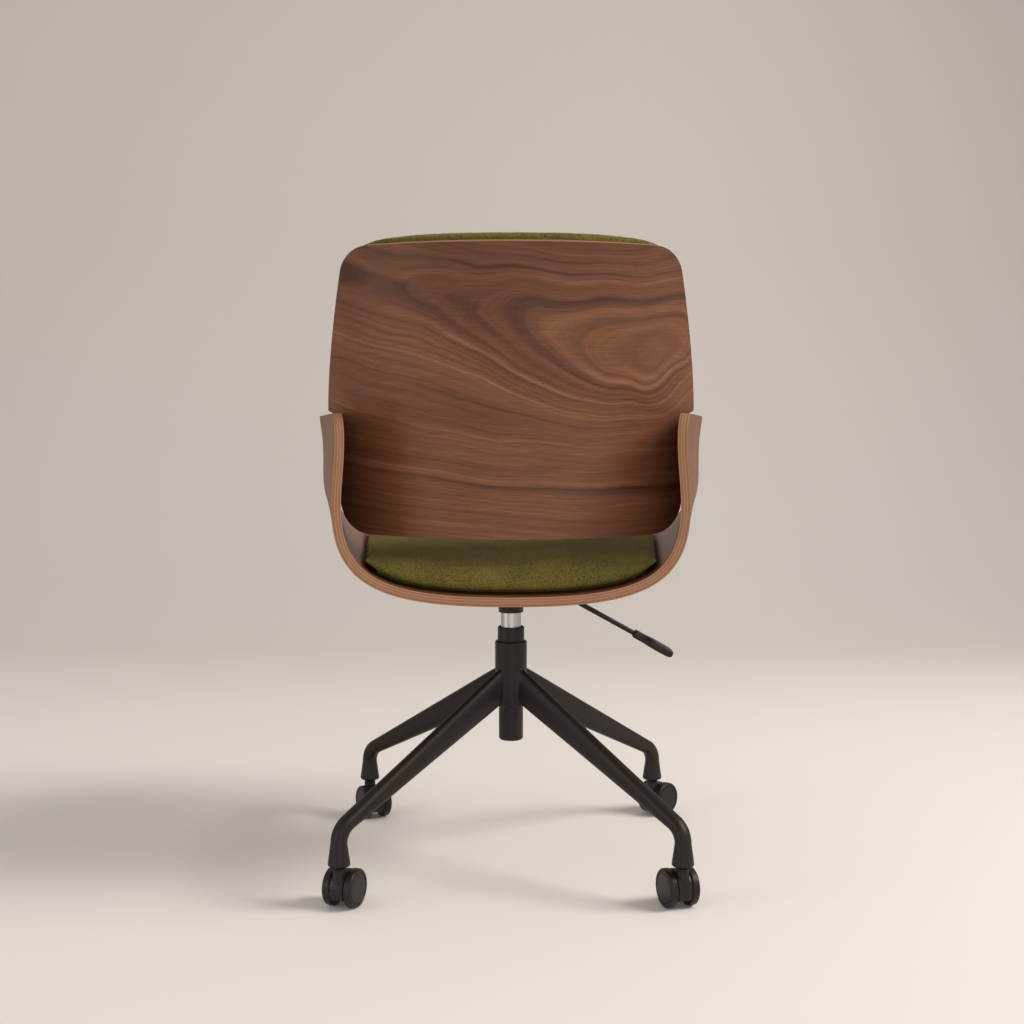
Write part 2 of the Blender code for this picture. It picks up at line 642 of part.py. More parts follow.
def make_leg(name, turn, material):
    bend = math.pi / 2 - LEG_SLOPE
    tangent = KNEE_BEND_RADIUS * math.tan(bend / 2)
    bend_start = LEG_REACH - tangent * math.cos(LEG_SLOPE)
    rings = []
    for step in range(5):
        radius = LEG_START + (bend_start - LEG_START) * step / 4
        share = radius / bend_start
        tall = LEG_ROOT_HEIGHT + (LEG_KNEE_HEIGHT - LEG_ROOT_HEIGHT) * share
        wide = LEG_ROOT_WIDTH + (LEG_KNEE_WIDTH - LEG_ROOT_WIDTH) * share
        height = LEG_LINE_HEIGHT - radius * math.tan(LEG_SLOPE)
        rings.append(leg_ring(radius, height, LEG_SLOPE, tall, wide, turn))
    centre_radius = LEG_REACH - KNEE_BEND_RADIUS
    centre_height = KNEE_CORNER_Z - tangent
    for step in range(1, 5):
        pitch = LEG_SLOPE + bend * step / 4
        radius = centre_radius + KNEE_BEND_RADIUS * math.sin(pitch)
        height = centre_height + KNEE_BEND_RADIUS * math.cos(pitch)
        tall = LEG_KNEE_HEIGHT + (LEG_KNEE_WIDTH - LEG_KNEE_HEIGHT) * step / 4
        rings.append(leg_ring(radius, height, pitch, tall, LEG_KNEE_WIDTH, turn))
    foot = 2 * SLEEVE_RADIUS
    for height, size in ((SLEEVE_BOTTOM + SLEEVE_CHAMFER, foot),
                         (SLEEVE_BOTTOM, foot - 2 * SLEEVE_CHAMFER)):
        rings.append(leg_ring(LEG_REACH, height, math.pi / 2, size, size, turn))
    return loft(name, rings, material)


def make_star_base(materials):
    middle = FILLET_MIDDLE * HUB_ROUNDING
    hub_profile = [(0, HUB_BOTTOM), (HUB_RADIUS - HUB_FOOT_CHAMFER, HUB_BOTTOM),
                   (HUB_RADIUS, HUB_BOTTOM + HUB_FOOT_CHAMFER), (HUB_RADIUS, HUB_TOP - HUB_ROUNDING),
                   (HUB_RADIUS - middle, HUB_TOP - middle),
                   (HUB_RADIUS - HUB_ROUNDING, HUB_TOP), (0, HUB_TOP)]
    base = turned("star_base", hub_profile, materials["black_metal"])
    for side, end, _ in CASTERS.values():
        leg = make_leg("leg_form", math.atan2(end, side), materials["black_metal"])
        combine(base, leg, "UNION")
    bore = [(radius + SEAT_GAP, height) for radius, height in column_outside()]
    bore = [(0, HUB_BOTTOM - CUT_PAST), (bore[0][0], HUB_BOTTOM - CUT_PAST)] + bore
    bore += [(bore[-1][0], HUB_TOP + CUT_PAST), (0, HUB_TOP + CUT_PAST)]
    combine(base, turned("hub_bore", bore, materials["black_metal"]))
    for side, end, _ in CASTERS.values():
        hole = turned("stem_hole", solid_rod(STEM_RADIUS + SEAT_GAP, SLEEVE_BOTTOM - CUT_PAST,
                                             STEM_TOP + EDGE_CHAMFER),
                      materials["black_metal"], SMALL_ROUND)
        hole.location = (side * CASTER_SPACING / 2, end * CASTER_SPACING / 2, 0)
        combine(base, hole)
    return base


def column_outside():
    # Where the tapered column sits in the hub: lower and upper ends of the taper.
    return [(COLUMN_LOWER_RADIUS, HUB_BOTTOM), (COLUMN_RADIUS, HUB_TOP - TAPER_BELOW_TOP)]


def make_column(materials):
    soft = 2 * COLUMN_RIM
    profile = [(RECESS_RADIUS, COLUMN_BOTTOM), (COLUMN_LOWER_RADIUS - soft, COLUMN_BOTTOM),
               (COLUMN_LOWER_RADIUS - FILLET_MIDDLE * soft, COLUMN_BOTTOM + FILLET_MIDDLE * soft),
               (COLUMN_LOWER_RADIUS, COLUMN_BOTTOM + soft)]
    profile += column_outside()
    profile += [(COLUMN_RADIUS, COLUMN_TOP - COLUMN_RIM), (COLUMN_RADIUS - COLUMN_RIM, COLUMN_TOP),
                (COLUMN_BORE, COLUMN_TOP - COLUMN_RIM), (COLUMN_BORE, BUSH_BOTTOM - SEAT_GAP),
                (COLUMN_LOWER_BORE, BUSH_BOTTOM - SEAT_GAP), (COLUMN_LOWER_BORE, COLUMN_FLOOR_TOP),
                (ROD_RADIUS + ROD_PLAY, COLUMN_FLOOR_TOP),
                (ROD_RADIUS + ROD_PLAY, COLUMN_BOTTOM + COLUMN_RECESS),
                (RECESS_RADIUS, COLUMN_BOTTOM + COLUMN_RECESS)]
    tube = turned("column_tube", profile, materials["black_metal"], closed=True)
    bush = turned("guide_bush", washer(BUSH_BORE, BUSH_RADIUS, BUSH_BOTTOM, BUSH_TOP),
                  materials["white_plastic"], INNER_ROUND, closed=True)
    race = turned("bearing_race_lower",
                  washer(ROD_RADIUS + ROD_PLAY, RACE_RADIUS, RACE_LOWER_BOTTOM,
                         RACE_LOWER_BOTTOM + RACE_THICKNESS),
                  materials["steel"], INNER_ROUND, closed=True)
    return [tube, bush, race]


def make_bearing_cage(materials):
    middle = (ROD_RADIUS + ROD_PLAY + CAGE_RADIUS) / 2
    cage = turned("bearing_cage",
                  washer(ROD_RADIUS + ROD_PLAY, CAGE_RADIUS, BALL_CENTRE - CAGE_THICKNESS / 2,
                         BALL_CENTRE + CAGE_THICKNESS / 2),
                  materials["steel"], SMALL_ROUND, closed=True)
    bm = bmesh.new()
    for number in range(BALL_COUNT):
        angle = 2 * math.pi * (number + 0.5) / BALL_COUNT
        place = Matrix.Translation((middle * math.cos(angle), middle * math.sin(angle), BALL_CENTRE))
        bmesh.ops.create_uvsphere(bm, u_segments=6, v_segments=4, radius=BALL_RADIUS, matrix=place)
    combine(cage, finish_solid("bearing_balls", bm, materials["steel"]), "UNION")
    return cage


def make_piston_rod(materials):
    chamfer = EDGE_CHAMFER / 2
    profile = [(0, ROD_BOTTOM), (ROD_RADIUS - chamfer, ROD_BOTTOM), (ROD_RADIUS, ROD_BOTTOM + chamfer),
               (ROD_RADIUS, PISTON_BOTTOM), (CYLINDER_BORE - RUNNING_GAP, PISTON_BOTTOM),
               (CYLINDER_BORE - RUNNING_GAP, PISTON_TOP), (0, PISTON_TOP)]
    rod = turned("piston_rod", profile, materials["steel"], INNER_ROUND)
    rod_hole = ROD_RADIUS + SEAT_GAP
    race = turned("bearing_race_upper",
                  washer(rod_hole, RACE_RADIUS, RACE_UPPER_BOTTOM, RACE_UPPER_BOTTOM + RACE_THICKNESS),
                  materials["steel"], INNER_ROUND, closed=True)
    bumper = turned("rubber_bumper",
                    washer(rod_hole, BUMPER_RADIUS, BUMPER_BOTTOM, BUMPER_BOTTOM + BUMPER_HEIGHT),
                    materials["rubber"], INNER_ROUND, closed=True)
    clip_top = COLUMN_BOTTOM + COLUMN_RECESS - SEAT_GAP
    clip = turned("rod_clip", washer(rod_hole, CLIP_RADIUS, clip_top - CLIP_THICKNESS, clip_top),
                  materials["steel"], SMALL_ROUND, closed=True)
    return [rod, race, bumper, clip, make_bearing_cage(materials)]


def make_gas_cylinder(materials):
    well = PIN_RADIUS + PIN_PLAY
    top_radius = CYLINDER_RADIUS - CYLINDER_TAPER
    profile = [(0, CYLINDER_TOP - PIN_WELL), (well, CYLINDER_TOP - PIN_WELL), (well, CYLINDER_TOP),
               (top_radius - EDGE_CHAMFER, CYLINDER_TOP), (top_radius, CYLINDER_TOP - EDGE_CHAMFER),
               (CYLINDER_RADIUS, SOCKET_BOTTOM), (CYLINDER_RADIUS, CYLINDER_BOTTOM + EDGE_CHAMFER),
               (CYLINDER_RADIUS - EDGE_CHAMFER, CYLINDER_BOTTOM), (CYLINDER_BORE, CYLINDER_BOTTOM),
               (CYLINDER_BORE, CAVITY_TOP), (0, CAVITY_TOP)]
    cylinder = turned("gas_cylinder", profile, materials["steel"])
    guide = turned("rod_guide",
                   washer(ROD_RADIUS + RUNNING_GAP, CYLINDER_BORE - SEAT_GAP,
                          CYLINDER_BOTTOM + ROD_GUIDE_INSET, ROD_GUIDE_TOP),
                   materials["black_plastic"], INNER_ROUND, closed=True)
    return [cylinder, guide]


def make_release_pin(materials):
    low = PIN_TOP - PIN_LENGTH
    middle = PIN_TIP * FILLET_MIDDLE
    profile = [(0, low), (PIN_RADIUS, low), (PIN_RADIUS, PIN_TOP - PIN_TIP),
               (PIN_RADIUS * math.cos(math.pi / 4), PIN_TOP - middle), (0, PIN_TOP)]
    return turned("release_pin", profile, materials["steel"], SMALL_ROUND)


def make_taper_socket(materials):
    fit = SEAT_GAP
    top_bore = CYLINDER_RADIUS - CYLINDER_TAPER + fit
    flange_low = PAN_FLOOR + SEAT_GAP
    middle = FILLET_MIDDLE * SOCKET_ROUNDING
    profile = [(CYLINDER_RADIUS + fit, SOCKET_BOTTOM), (SOCKET_RADIUS - SOCKET_ROUNDING, SOCKET_BOTTOM),
               (SOCKET_RADIUS - middle, SOCKET_BOTTOM + middle),
               (SOCKET_RADIUS, SOCKET_BOTTOM + SOCKET_ROUNDING), (SOCKET_RADIUS, flange_low),
               (SOCKET_FLANGE_RADIUS, flange_low), (SOCKET_FLANGE_RADIUS, flange_low + SOCKET_FLANGE),
               (SOCKET_RADIUS, flange_low + SOCKET_FLANGE), (SOCKET_RADIUS, SOCKET_TOP),
               (top_bore, SOCKET_TOP), (top_bore, CYLINDER_TOP - EDGE_CHAMFER)]
    return turned("taper_socket", profile, materials["black_metal"], closed=True)


def bolt_places():
    for side in (-1, 1):
        for end in (-1, 1):
            yield side * BOLT_SPACING_X / 2, end * BOLT_SPACING_Y / 2


def make_mechanism_plate(materials):
    outline = rounded_rectangle(PLATE_WIDTH, PLATE_LENGTH, PLATE_CORNER)
    plate = prism("mechanism_plate", outline, PLATE_BOTTOM, PLATE_TOP, materials["black_metal"])
    for x, y in bolt_places():
        hole = turned("bolt_hole", solid_rod(BOLT_RADIUS + SEAT_GAP, PLATE_BOTTOM - CUT_PAST,
                                             PLATE_TOP + CUT_PAST), materials["black_metal"], BOLT_SIDES)
        hole.location = (x, y, 0)
        combine(plate, hole)
    return plate


def make_mechanism_pan(materials):
    top = PLATE_BOTTOM - SEAT_GAP
    inner_corner = PAN_CORNER - PAN_SHEET
    outer = rounded_rectangle(PAN_WIDTH, PAN_LENGTH, PAN_CORNER)
    inner = rounded_rectangle(PAN_WIDTH - 2 * PAN_SHEET, PAN_LENGTH - 2 * PAN_SHEET, inner_corner)
    rings = [[Vector((x, y, z)) for x, y in outline] for outline, z in
             ((outer, PAN_BOTTOM), (outer, top), (inner, top), (inner, PAN_FLOOR))]
    pan = loft("mechanism_pan", rings, materials["black_metal"])
    hole = turned("socket_hole", solid_rod(SOCKET_RADIUS + SEAT_GAP, PAN_BOTTOM - CUT_PAST,
                                           PAN_FLOOR + CUT_PAST), materials["black_metal"])
    combine(pan, hole)
    wall_travel = (PAN_WIDTH / 2 + LEVER_PIVOT_X) * math.sin(LEVER_RANGE)
    play = LEVER_ROD_RADIUS + SLOT_PLAY
    low = LEVER_PIVOT_Z - play
    high = LEVER_PIVOT_Z + play + wall_travel
    outside = -PAN_WIDTH / 2 - CUT_PAST
    inside = -PAN_WIDTH / 2 + PAN_SHEET + SLOT_PLAY
    slot_outline = [(outside, -play), (inside, -play), (inside, play), (outside, play)]
    combine(pan, prism("lever_slot", slot_outline, low, high, materials["black_metal"]))
    return pan


def make_fasteners(materials):
    pieces = []
    nut_bore = BOLT_RADIUS + SEAT_GAP
    barrel = nut_bore + NUT_WALL
    flange_bottom = SHELL_TOP - NUT_FLANGE
    barrel_bottom = flange_bottom - NUT_BARREL_LENGTH
    head_top = PLATE_BOTTOM - SEAT_GAP
    head_bottom = head_top - BOLT_HEAD_HEIGHT
    bolt_end = SHELL_TOP - BOLT_SHORT
    bolt_profile = [(0, head_bottom), (0.6 * BOLT_HEAD_RADIUS, head_bottom),
                    (BOLT_HEAD_RADIUS, head_top - 0.4 * BOLT_HEAD_HEIGHT), (BOLT_HEAD_RADIUS, head_top),
                    (BOLT_RADIUS, head_top), (BOLT_RADIUS, bolt_end), (0, bolt_end)]
    nut_profile = [(nut_bore, barrel_bottom), (barrel, barrel_bottom), (barrel, flange_bottom),
                   (NUT_FLANGE_RADIUS, flange_bottom), (NUT_FLANGE_RADIUS, SHELL_TOP),
                   (nut_bore, SHELL_TOP)]
    for number, (x, y) in enumerate(bolt_places(), start=1):
        bolt = turned(f"seat_bolt_{number}", bolt_profile, materials["black_metal"], BOLT_SIDES)
        nut = turned(f"tee_nut_{number}", nut_profile, materials["steel"], BOLT_SIDES, closed=True)
        for piece in (bolt, nut):
            piece.location = (x, y, 0)
            pieces.append(piece)
    return pieces


def make_lever(materials):
    turn = Matrix.Rotation(math.pi / 2, 4, "X")
    half = TRIGGER_WIDTH / 2
    left, right = TRIGGER_BLOCK_LEFT, TRIGGER_BLOCK_RIGHT
    low = LEVER_PIVOT_Z - TRIGGER_BLOCK_BELOW
    block_top = LEVER_PIVOT_Z + TRIGGER_BLOCK_BELOW
    corner, neck = TRIGGER_CORNER, TRIGGER_NECK
    outline = [(left, low), (right - corner, low), (right, low + corner), (right, LEVER_PIVOT_Z + corner),
               (right + 2 * neck, FINGER_BOTTOM), (TRIGGER_FINGER_TIP, FINGER_BOTTOM),
               (TRIGGER_FINGER_TIP, FINGER_TOP), (right + neck, FINGER_TOP),
               (right - neck, block_top), (left, block_top)]
    trigger = prism("lever_trigger", outline, -half, half, materials["black_metal"], turn)
    pivot_hole = turned("pivot_hole", solid_rod(PIVOT_PIN_RADIUS + RUNNING_GAP, -2 * half, 2 * half),
                        materials["black_metal"], SMALL_ROUND, turn=turn)
    pivot_hole.location = (LEVER_PIVOT_X, 0, LEVER_PIVOT_Z)
    combine(trigger, pivot_hole)
    along_x = Matrix.Rotation(math.pi / 2, 4, "Y")
    rod_hole = turned("rod_hole", solid_rod(LEVER_ROD_RADIUS + SEAT_GAP, left - CUT_PAST,
                                            left + ROD_SOCKET_DEPTH),
                      materials["black_metal"], SMALL_ROUND, turn=along_x)
    rod_hole.location = (0, 0, LEVER_PIVOT_Z)
    combine(trigger, rod_hole)
    return [trigger, make_lever_rod(left + ROD_SOCKET_DEPTH - SEAT_GAP, materials), make_paddle(materials)]


def lever_point(distance):
    # A point on the sloping part of the lever, at this distance from the bend's corner.
    return Vector((LEVER_BEND_X - distance * math.cos(LEVER_SLOPE), 0,
                   LEVER_PIVOT_Z - distance * math.sin(LEVER_SLOPE)))


def make_lever_rod(inner_end, materials):
    tangent = LEVER_BEND_RADIUS * math.tan(LEVER_SLOPE / 2)
    stations = [(Vector((inner_end, 0, LEVER_PIVOT_Z)), 0.0)]
    for step in range(5):
        angle = LEVER_SLOPE * step / 4
        centre = Vector((LEVER_BEND_X + tangent, 0, LEVER_PIVOT_Z - LEVER_BEND_RADIUS))
        offset = Vector((-math.sin(angle), 0, math.cos(angle))) * LEVER_BEND_RADIUS
        stations.append((centre + offset, angle))
    stations.append((lever_point(LEVER_ROD_END), LEVER_SLOPE))
    rings = []
    for middle, pitch in stations:
        up = Vector((-math.sin(pitch), 0, math.cos(pitch)))
        ring = []
        for side in range(ROD_SIDES):
            angle = 2 * math.pi * side / ROD_SIDES
            outward = up * math.sin(angle) + Vector((0, math.cos(angle), 0))
            ring.append(middle + outward * LEVER_ROD_RADIUS)
        rings.append(ring)
    return loft("lever_rod", rings, materials["black_metal"])


def make_paddle(materials):
    # Distance along the paddle, width and thickness, as shares of its own sizes.
    neck = PADDLE_NECK_WIDTH / PADDLE_WIDTH
    stations = [(0.0, neck * 0.9, 0.80), (0.03, neck, 0.92), (0.24, neck, 0.92), (0.44, 0.95, 1.0),
                (0.60, 1.0, 1.05), (0.92, 0.96, 1.0), (1.0, 0.80, 0.60)]
    direction = Vector((-math.cos(LEVER_SLOPE), 0, -math.sin(LEVER_SLOPE)))
    up = Vector((-math.sin(LEVER_SLOPE), 0, math.cos(LEVER_SLOPE)))
    start = lever_point(PADDLE_START)
    rings = []
    for share, width, thickness in stations:
        ring = []
        for step in range(PADDLE_SIDES):
            angle = 2 * math.pi * step / PADDLE_SIDES
            side = PADDLE_WIDTH / 2 * width * rounded(math.cos(angle), PADDLE_SQUARENESS)
            rise = PADDLE_THICKNESS / 2 * thickness * rounded(math.sin(angle), PADDLE_SQUARENESS)
            ring.append(start + direction * share * PADDLE_LENGTH + Vector((0, side, 0)) + up * rise)
        rings.append(ring)
    paddle = loft("lever_paddle", rings, materials["black_plastic"])
    hole_depth = LEVER_ROD_END - PADDLE_START + SEAT_GAP
    turn = Matrix.Rotation(-math.pi / 2 - LEVER_SLOPE, 4, "Y")
    hole = turned("paddle_hole", solid_rod(LEVER_ROD_RADIUS + SEAT_GAP, -CUT_PAST, hole_depth),
                  materials["black_plastic"], SMALL_ROUND, turn=turn)
    hole.location = start
    combine(paddle, hole)
    return paddle


def make_lever_bracket(materials):
    floor = PAN_FLOOR + SEAT_GAP
    inner = TRIGGER_WIDTH / 2 + EAR_SIDE_PLAY
    outer = inner + EAR_SHEET
    ear_top = LEVER_PIVOT_Z + EAR_HALF_LENGTH
    outline = [(-outer, floor), (outer, floor), (outer, ear_top), (inner, ear_top),
               (inner, floor + EAR_FOOT), (-inner, floor + EAR_FOOT), (-inner, ear_top), (-outer, ear_top)]
    # The outline is drawn in Y and Z, and raised along X.
    turn = Matrix(((0, 0, 1, 0), (1, 0, 0, 0), (0, 1, 0, 0), (0, 0, 0, 1)))
    bracket = prism("lever_bracket", outline, LEVER_PIVOT_X - EAR_HALF_LENGTH,
                    LEVER_PIVOT_X + EAR_HALF_LENGTH, materials["black_metal"], turn)
    along_y = Matrix.Rotation(-math.pi / 2, 4, "X")
    hole = turned("ear_hole", solid_rod(PIVOT_PIN_RADIUS + SEAT_GAP, -2 * outer, 2 * outer),
                  materials["black_metal"], SMALL_ROUND, turn=along_y)
    hole.location = (LEVER_PIVOT_X, 0, LEVER_PIVOT_Z)
    combine(bracket, hole)
    head_low = outer + SEAT_GAP
    head_high = head_low + PIVOT_PIN_HEAD_HEIGHT
    tail = -outer - PIVOT_PIN_TAIL
    pin_profile = [(0, tail), (PIVOT_PIN_RADIUS, tail), (PIVOT_PIN_RADIUS, head_low),
                   (PIVOT_PIN_HEAD, head_low), (PIVOT_PIN_HEAD, head_high), (0, head_high)]
    pin = turned("lever_pivot_pin", pin_profile, materials["steel"], SMALL_ROUND, turn=along_y)
    pin.location = (LEVER_PIVOT_X, 0, LEVER_PIVOT_Z)
    return [bracket, pin]


def make_seat_shell(materials):
    outer, inner = [], []
    for share in shell_shares():
        rear, front = shell_rear_edge(share), shell_front_edge(share)
        places = [rear + (front - rear) * row / SHELL_ROWS for row in range(SHELL_ROWS + 1)]
        outer.append([shell_surface(share, y) for y in places])
        inner.append([inward_point(shell_surface, share, y, SHELL_THICKNESS) for y in places])
    shell = slab("seat_shell", outer, inner, materials["veneer"])
    barrel = BOLT_RADIUS + SEAT_GAP + NUT_WALL + SEAT_GAP
    seat = SHELL_TOP - NUT_FLANGE - SEAT_GAP
    flange = NUT_FLANGE_RADIUS + SEAT_GAP
    profile = [(0, SHELL_UNDERSIDE - CUT_PAST), (barrel, SHELL_UNDERSIDE - CUT_PAST), (barrel, seat),
               (flange, seat), (flange, SHELL_TOP + CUT_PAST), (0, SHELL_TOP + CUT_PAST)]
    for x, y in bolt_places():
        hole = turned("nut_hole", profile, materials["veneer"], BOLT_SIDES)
        hole.location = (x, y, 0)
        combine(shell, hole)
    return shell


def make_seat_board(materials):
    near = SHELL_THICKNESS + SEAT_GAP
    last = SEAT_BOARD_SHARE
    shares = [-last] + [share for share in shell_shares() if abs(share) < 0.97 * last] + [last]
    places = [SEAT_BOARD_REAR_Y + (SEAT_BOARD_FRONT_Y - SEAT_BOARD_REAR_Y) * row / 3 for row in range(4)]
    lower = [[shell_inside(share, y, near) for y in places] for share in shares]
    upper = [[shell_inside(share, y, near + BOARD_THICKNESS) for y in places] for share in shares]
    return slab("seat_board", lower, upper, materials["board"])


def cushion_sheets(place, thickness, name, material):
    # A padded sheet over u and v from -1 to 1: full in the middle and drawn in at its border.
    back, front = [], []
    for column in range(CUSHION_COLUMNS + 1):
        u = math.sin(math.pi * (column / CUSHION_COLUMNS - 0.5))
        back.append([])
        front.append([])
        for row in range(CUSHION_ROWS + 1):
            v = math.sin(math.pi * (row / CUSHION_ROWS - 0.5))
            across = u * (1 - CUSHION_CORNER_SHARE * abs(v) ** CUSHION_SIDE_POWER)
            along = v * (1 - CUSHION_CORNER_SHARE * abs(u) ** CUSHION_SIDE_POWER)
            power = CUSHION_ROUNDNESS
            fullness = ((1 - abs(u) ** power) * (1 - abs(v) ** power)) ** (1 / power)
            depth = CUSHION_EDGE + (thickness - CUSHION_EDGE) * fullness
            back[-1].append(place(across, along, 0.0))
            front[-1].append(place(across, along, depth))
    return slab(name, back, front, material)


def make_seat_cushion(materials):
    near = SHELL_THICKNESS + SEAT_GAP + BOARD_THICKNESS + CUSHION_GAP
    middle = (SEAT_CUSHION_FRONT_Y + SEAT_CUSHION_REAR_Y) / 2
    reach = (SEAT_CUSHION_REAR_Y - SEAT_CUSHION_FRONT_Y) / 2
    full = SEAT_CUSHION_TOP - SHELL_UNDERSIDE - near

    def place(across, along, depth):
        # Straight up from the shell's inside, and never above the cushion's level top.
        base = shell_inside(SEAT_CUSHION_SHARE * across, middle + reach * along, near)
        room = SEAT_CUSHION_TOP - base.z
        return base + Vector((0, 0, depth * room / full))

    return cushion_sheets(place, full, "seat_cushion", materials["fabric"])


def make_back_panel(materials):
    outer, inner = [], []
    for z in panel_levels():
        half = panel_half_width(z)
        turns = [math.pi * (step / PANEL_COLUMNS - 0.5) for step in range(PANEL_COLUMNS + 1)]
        across = [half * math.sin(turn) for turn in turns]
        outer.append([panel_surface(x, z) for x in across])
        inner.append([inward_point(panel_surface, x, z, PANEL_THICKNESS) for x in across])
    return slab("back_panel", outer, inner, materials["veneer"])


def make_back_board(materials):
    near = PANEL_THICKNESS + BACK_BOARD_GAP
    low, high = BACK_CUSHION_BOTTOM + BACK_BOARD_MARGIN, BACK_CUSHION_TOP - BACK_BOARD_MARGIN
    levels = [low + (high - low) * row / 6 for row in range(7)]
    across = [BACK_BOARD_HALF_WIDTH * (step / 8 - 1) for step in range(17)]
    rear = [[inward_point(panel_surface, x, z, near) for z in levels] for x in across]
    front = [[inward_point(panel_surface, x, z, near + BOARD_THICKNESS) for z in levels] for x in across]
    return slab("back_board", rear, front, materials["board"])


def back_cushion_half_width(z):
    level = smooth_step((z - ARM_TOP) / BACK_CUSHION_NARROWING + 0.5)
    margin = BACK_CUSHION_LOW_MARGIN + (BACK_CUSHION_TOP_MARGIN - BACK_CUSHION_LOW_MARGIN) * level
    below_corner = min(z, PANEL_TOP - PANEL_TOP_CORNER)
    above_corner = max(below_corner, PANEL_BOTTOM + PANEL_BOTTOM_CORNER)
    return panel_half_width(above_corner) - margin


def make_back_cushion(materials):
    near = PANEL_THICKNESS + BACK_BOARD_GAP + BOARD_THICKNESS + CUSHION_GAP
    middle = (BACK_CUSHION_BOTTOM + BACK_CUSHION_TOP) / 2
    reach = (BACK_CUSHION_TOP - BACK_CUSHION_BOTTOM) / 2

    def place(across, along, depth):
        z = middle + reach * along
        return inward_point(panel_surface, across * back_cushion_half_width(z), z, near + depth)

    return cushion_sheets(place, BACK_CUSHION_THICKNESS, "back_cushion", materials["fabric"])


def arm_share_at(z):
    # The outline share at which the arm has this height.
    low, high = SHELL_CURVE_SPLIT, 1.0
    for _ in range(30):
        middle = (low + high) / 2
        if shell_outline(middle)[1] < z:
            low = middle
        else:
            high = middle
    return low


def make_arm_brackets(materials):
    # A folded strip on the panel's front, bridging to the arm's inner face.
    pieces = []
    for side_name, side in (("left", 1), ("right", -1)):
        for level_name, level in BRACKET_LEVELS.items():
            near, far = [], []
            for step in (-1, 0, 1):
                z = level + step * BRACKET_HEIGHT / 2
                share = side * arm_share_at(z)
                edge = side * panel_half_width(z)
                edge_y = inward_point(panel_surface, edge, z, PANEL_THICKNESS).y
                for grid, extra in ((near, BRACKET_GAP), (far, BRACKET_GAP + BRACKET_THICKNESS)):
                    row = [inward_point(panel_surface, edge - side * reach, z, PANEL_THICKNESS + extra)
                           for reach in BRACKET_PANEL_REACH]
                    row += [shell_inside(share, edge_y - reach, SHELL_THICKNESS + extra)
                            for reach in BRACKET_ARM_REACH]
                    grid.append(row)
            name = f"arm_bracket_{side_name}_{level_name}"
            pieces.append(slab(name, near, far, materials["black_metal"]))
    return pieces


def hood_outline(radius, below):
    # A circle cut off flat at this distance below the axle; X is forwards, Y is up.
    start = -math.asin(min(1.0, below / radius))
    points = []
    for step in range(HOOD_STEPS + 1):
        angle = start + (math.pi - 2 * start) * step / HOOD_STEPS
        points.append((radius * math.cos(angle), radius * math.sin(angle)))
    return points


def make_hood_mesh(materials):
    # The hood's own frame has the swivel axis at its origin and the axle behind it, along X.
    along_x = Matrix(((0, 0, 1, 0), (1, 0, 0, CASTER_TRAIL), (0, 1, 0, WHEEL_RADIUS), (0, 0, 0, 1)))
    below = WHEEL_RADIUS - HOOD_CLEARANCE
    half = HOOD_WIDTH / 2
    plastic = materials["black_plastic"]
    hood = prism("hood_form", hood_outline(HOOD_RADIUS, below), -half, half, plastic, along_x)
    pocket_outline = hood_outline(HOOD_RADIUS - HOOD_SKIN, below - EDGE_CHAMFER / 4)
    last, first = pocket_outline[-1], pocket_outline[0]
    pocket_outline += [(last[0], last[1] - CUT_PAST), (first[0], first[1] - CUT_PAST)]
    inside = half - HOOD_SIDE_WALL
    combine(hood, prism("hood_pocket", pocket_outline, -inside, inside, plastic, along_x))
    boss = turned("hood_boss", solid_rod(BOSS_RADIUS, BOSS_BOTTOM, BOSS_TOP, EDGE_CHAMFER / 2), plastic,
                  SMALL_ROUND)
    combine(hood, boss, "UNION")
    stem_hole = turned("stem_well", solid_rod(STEM_FOOT_RADIUS + RUNNING_GAP, BOSS_BOTTOM + STEM_FLOOR,
                                              BOSS_TOP + CUT_PAST), plastic, SMALL_ROUND)
    combine(hood, stem_hole)
    axle_hole = turned("axle_hole", solid_rod(AXLE_RADIUS + SEAT_GAP, -HOOD_WIDTH, HOOD_WIDTH), plastic,
                       SMALL_ROUND, turn=Matrix.Rotation(math.pi / 2, 4, "Y"))
    axle_hole.location = (0, CASTER_TRAIL, WHEEL_RADIUS)
    combine(hood, axle_hole)
    return settled_mesh(hood)


def wheel_profile():
    # From the axle's blind hole out over the inner face, the tread and the outer face.
    inner = HOOD_WIDTH / 2 + WHEEL_SIDE_GAP
    outer = inner + WHEEL_WIDTH
    hole = AXLE_RADIUS + RUNNING_GAP
    tread = WHEEL_RADIUS / math.cos(math.pi / WHEEL_SIDES)
    soft = WHEEL_ROUNDING
    face = WHEEL_FACE_SHARE * WHEEL_RADIUS
    return [(0, outer - WHEEL_CAP_WALL), (hole, outer - WHEEL_CAP_WALL), (hole, inner),
            (tread - soft, inner), (tread, inner + soft), (tread, outer - soft),
            (tread - FILLET_MIDDLE * soft, outer - FILLET_MIDDLE * soft), (tread - soft, outer),
            (face, outer), (face - WHEEL_FACE_STEP, outer - WHEEL_FACE_STEP), (0, outer - WHEEL_FACE_STEP)]


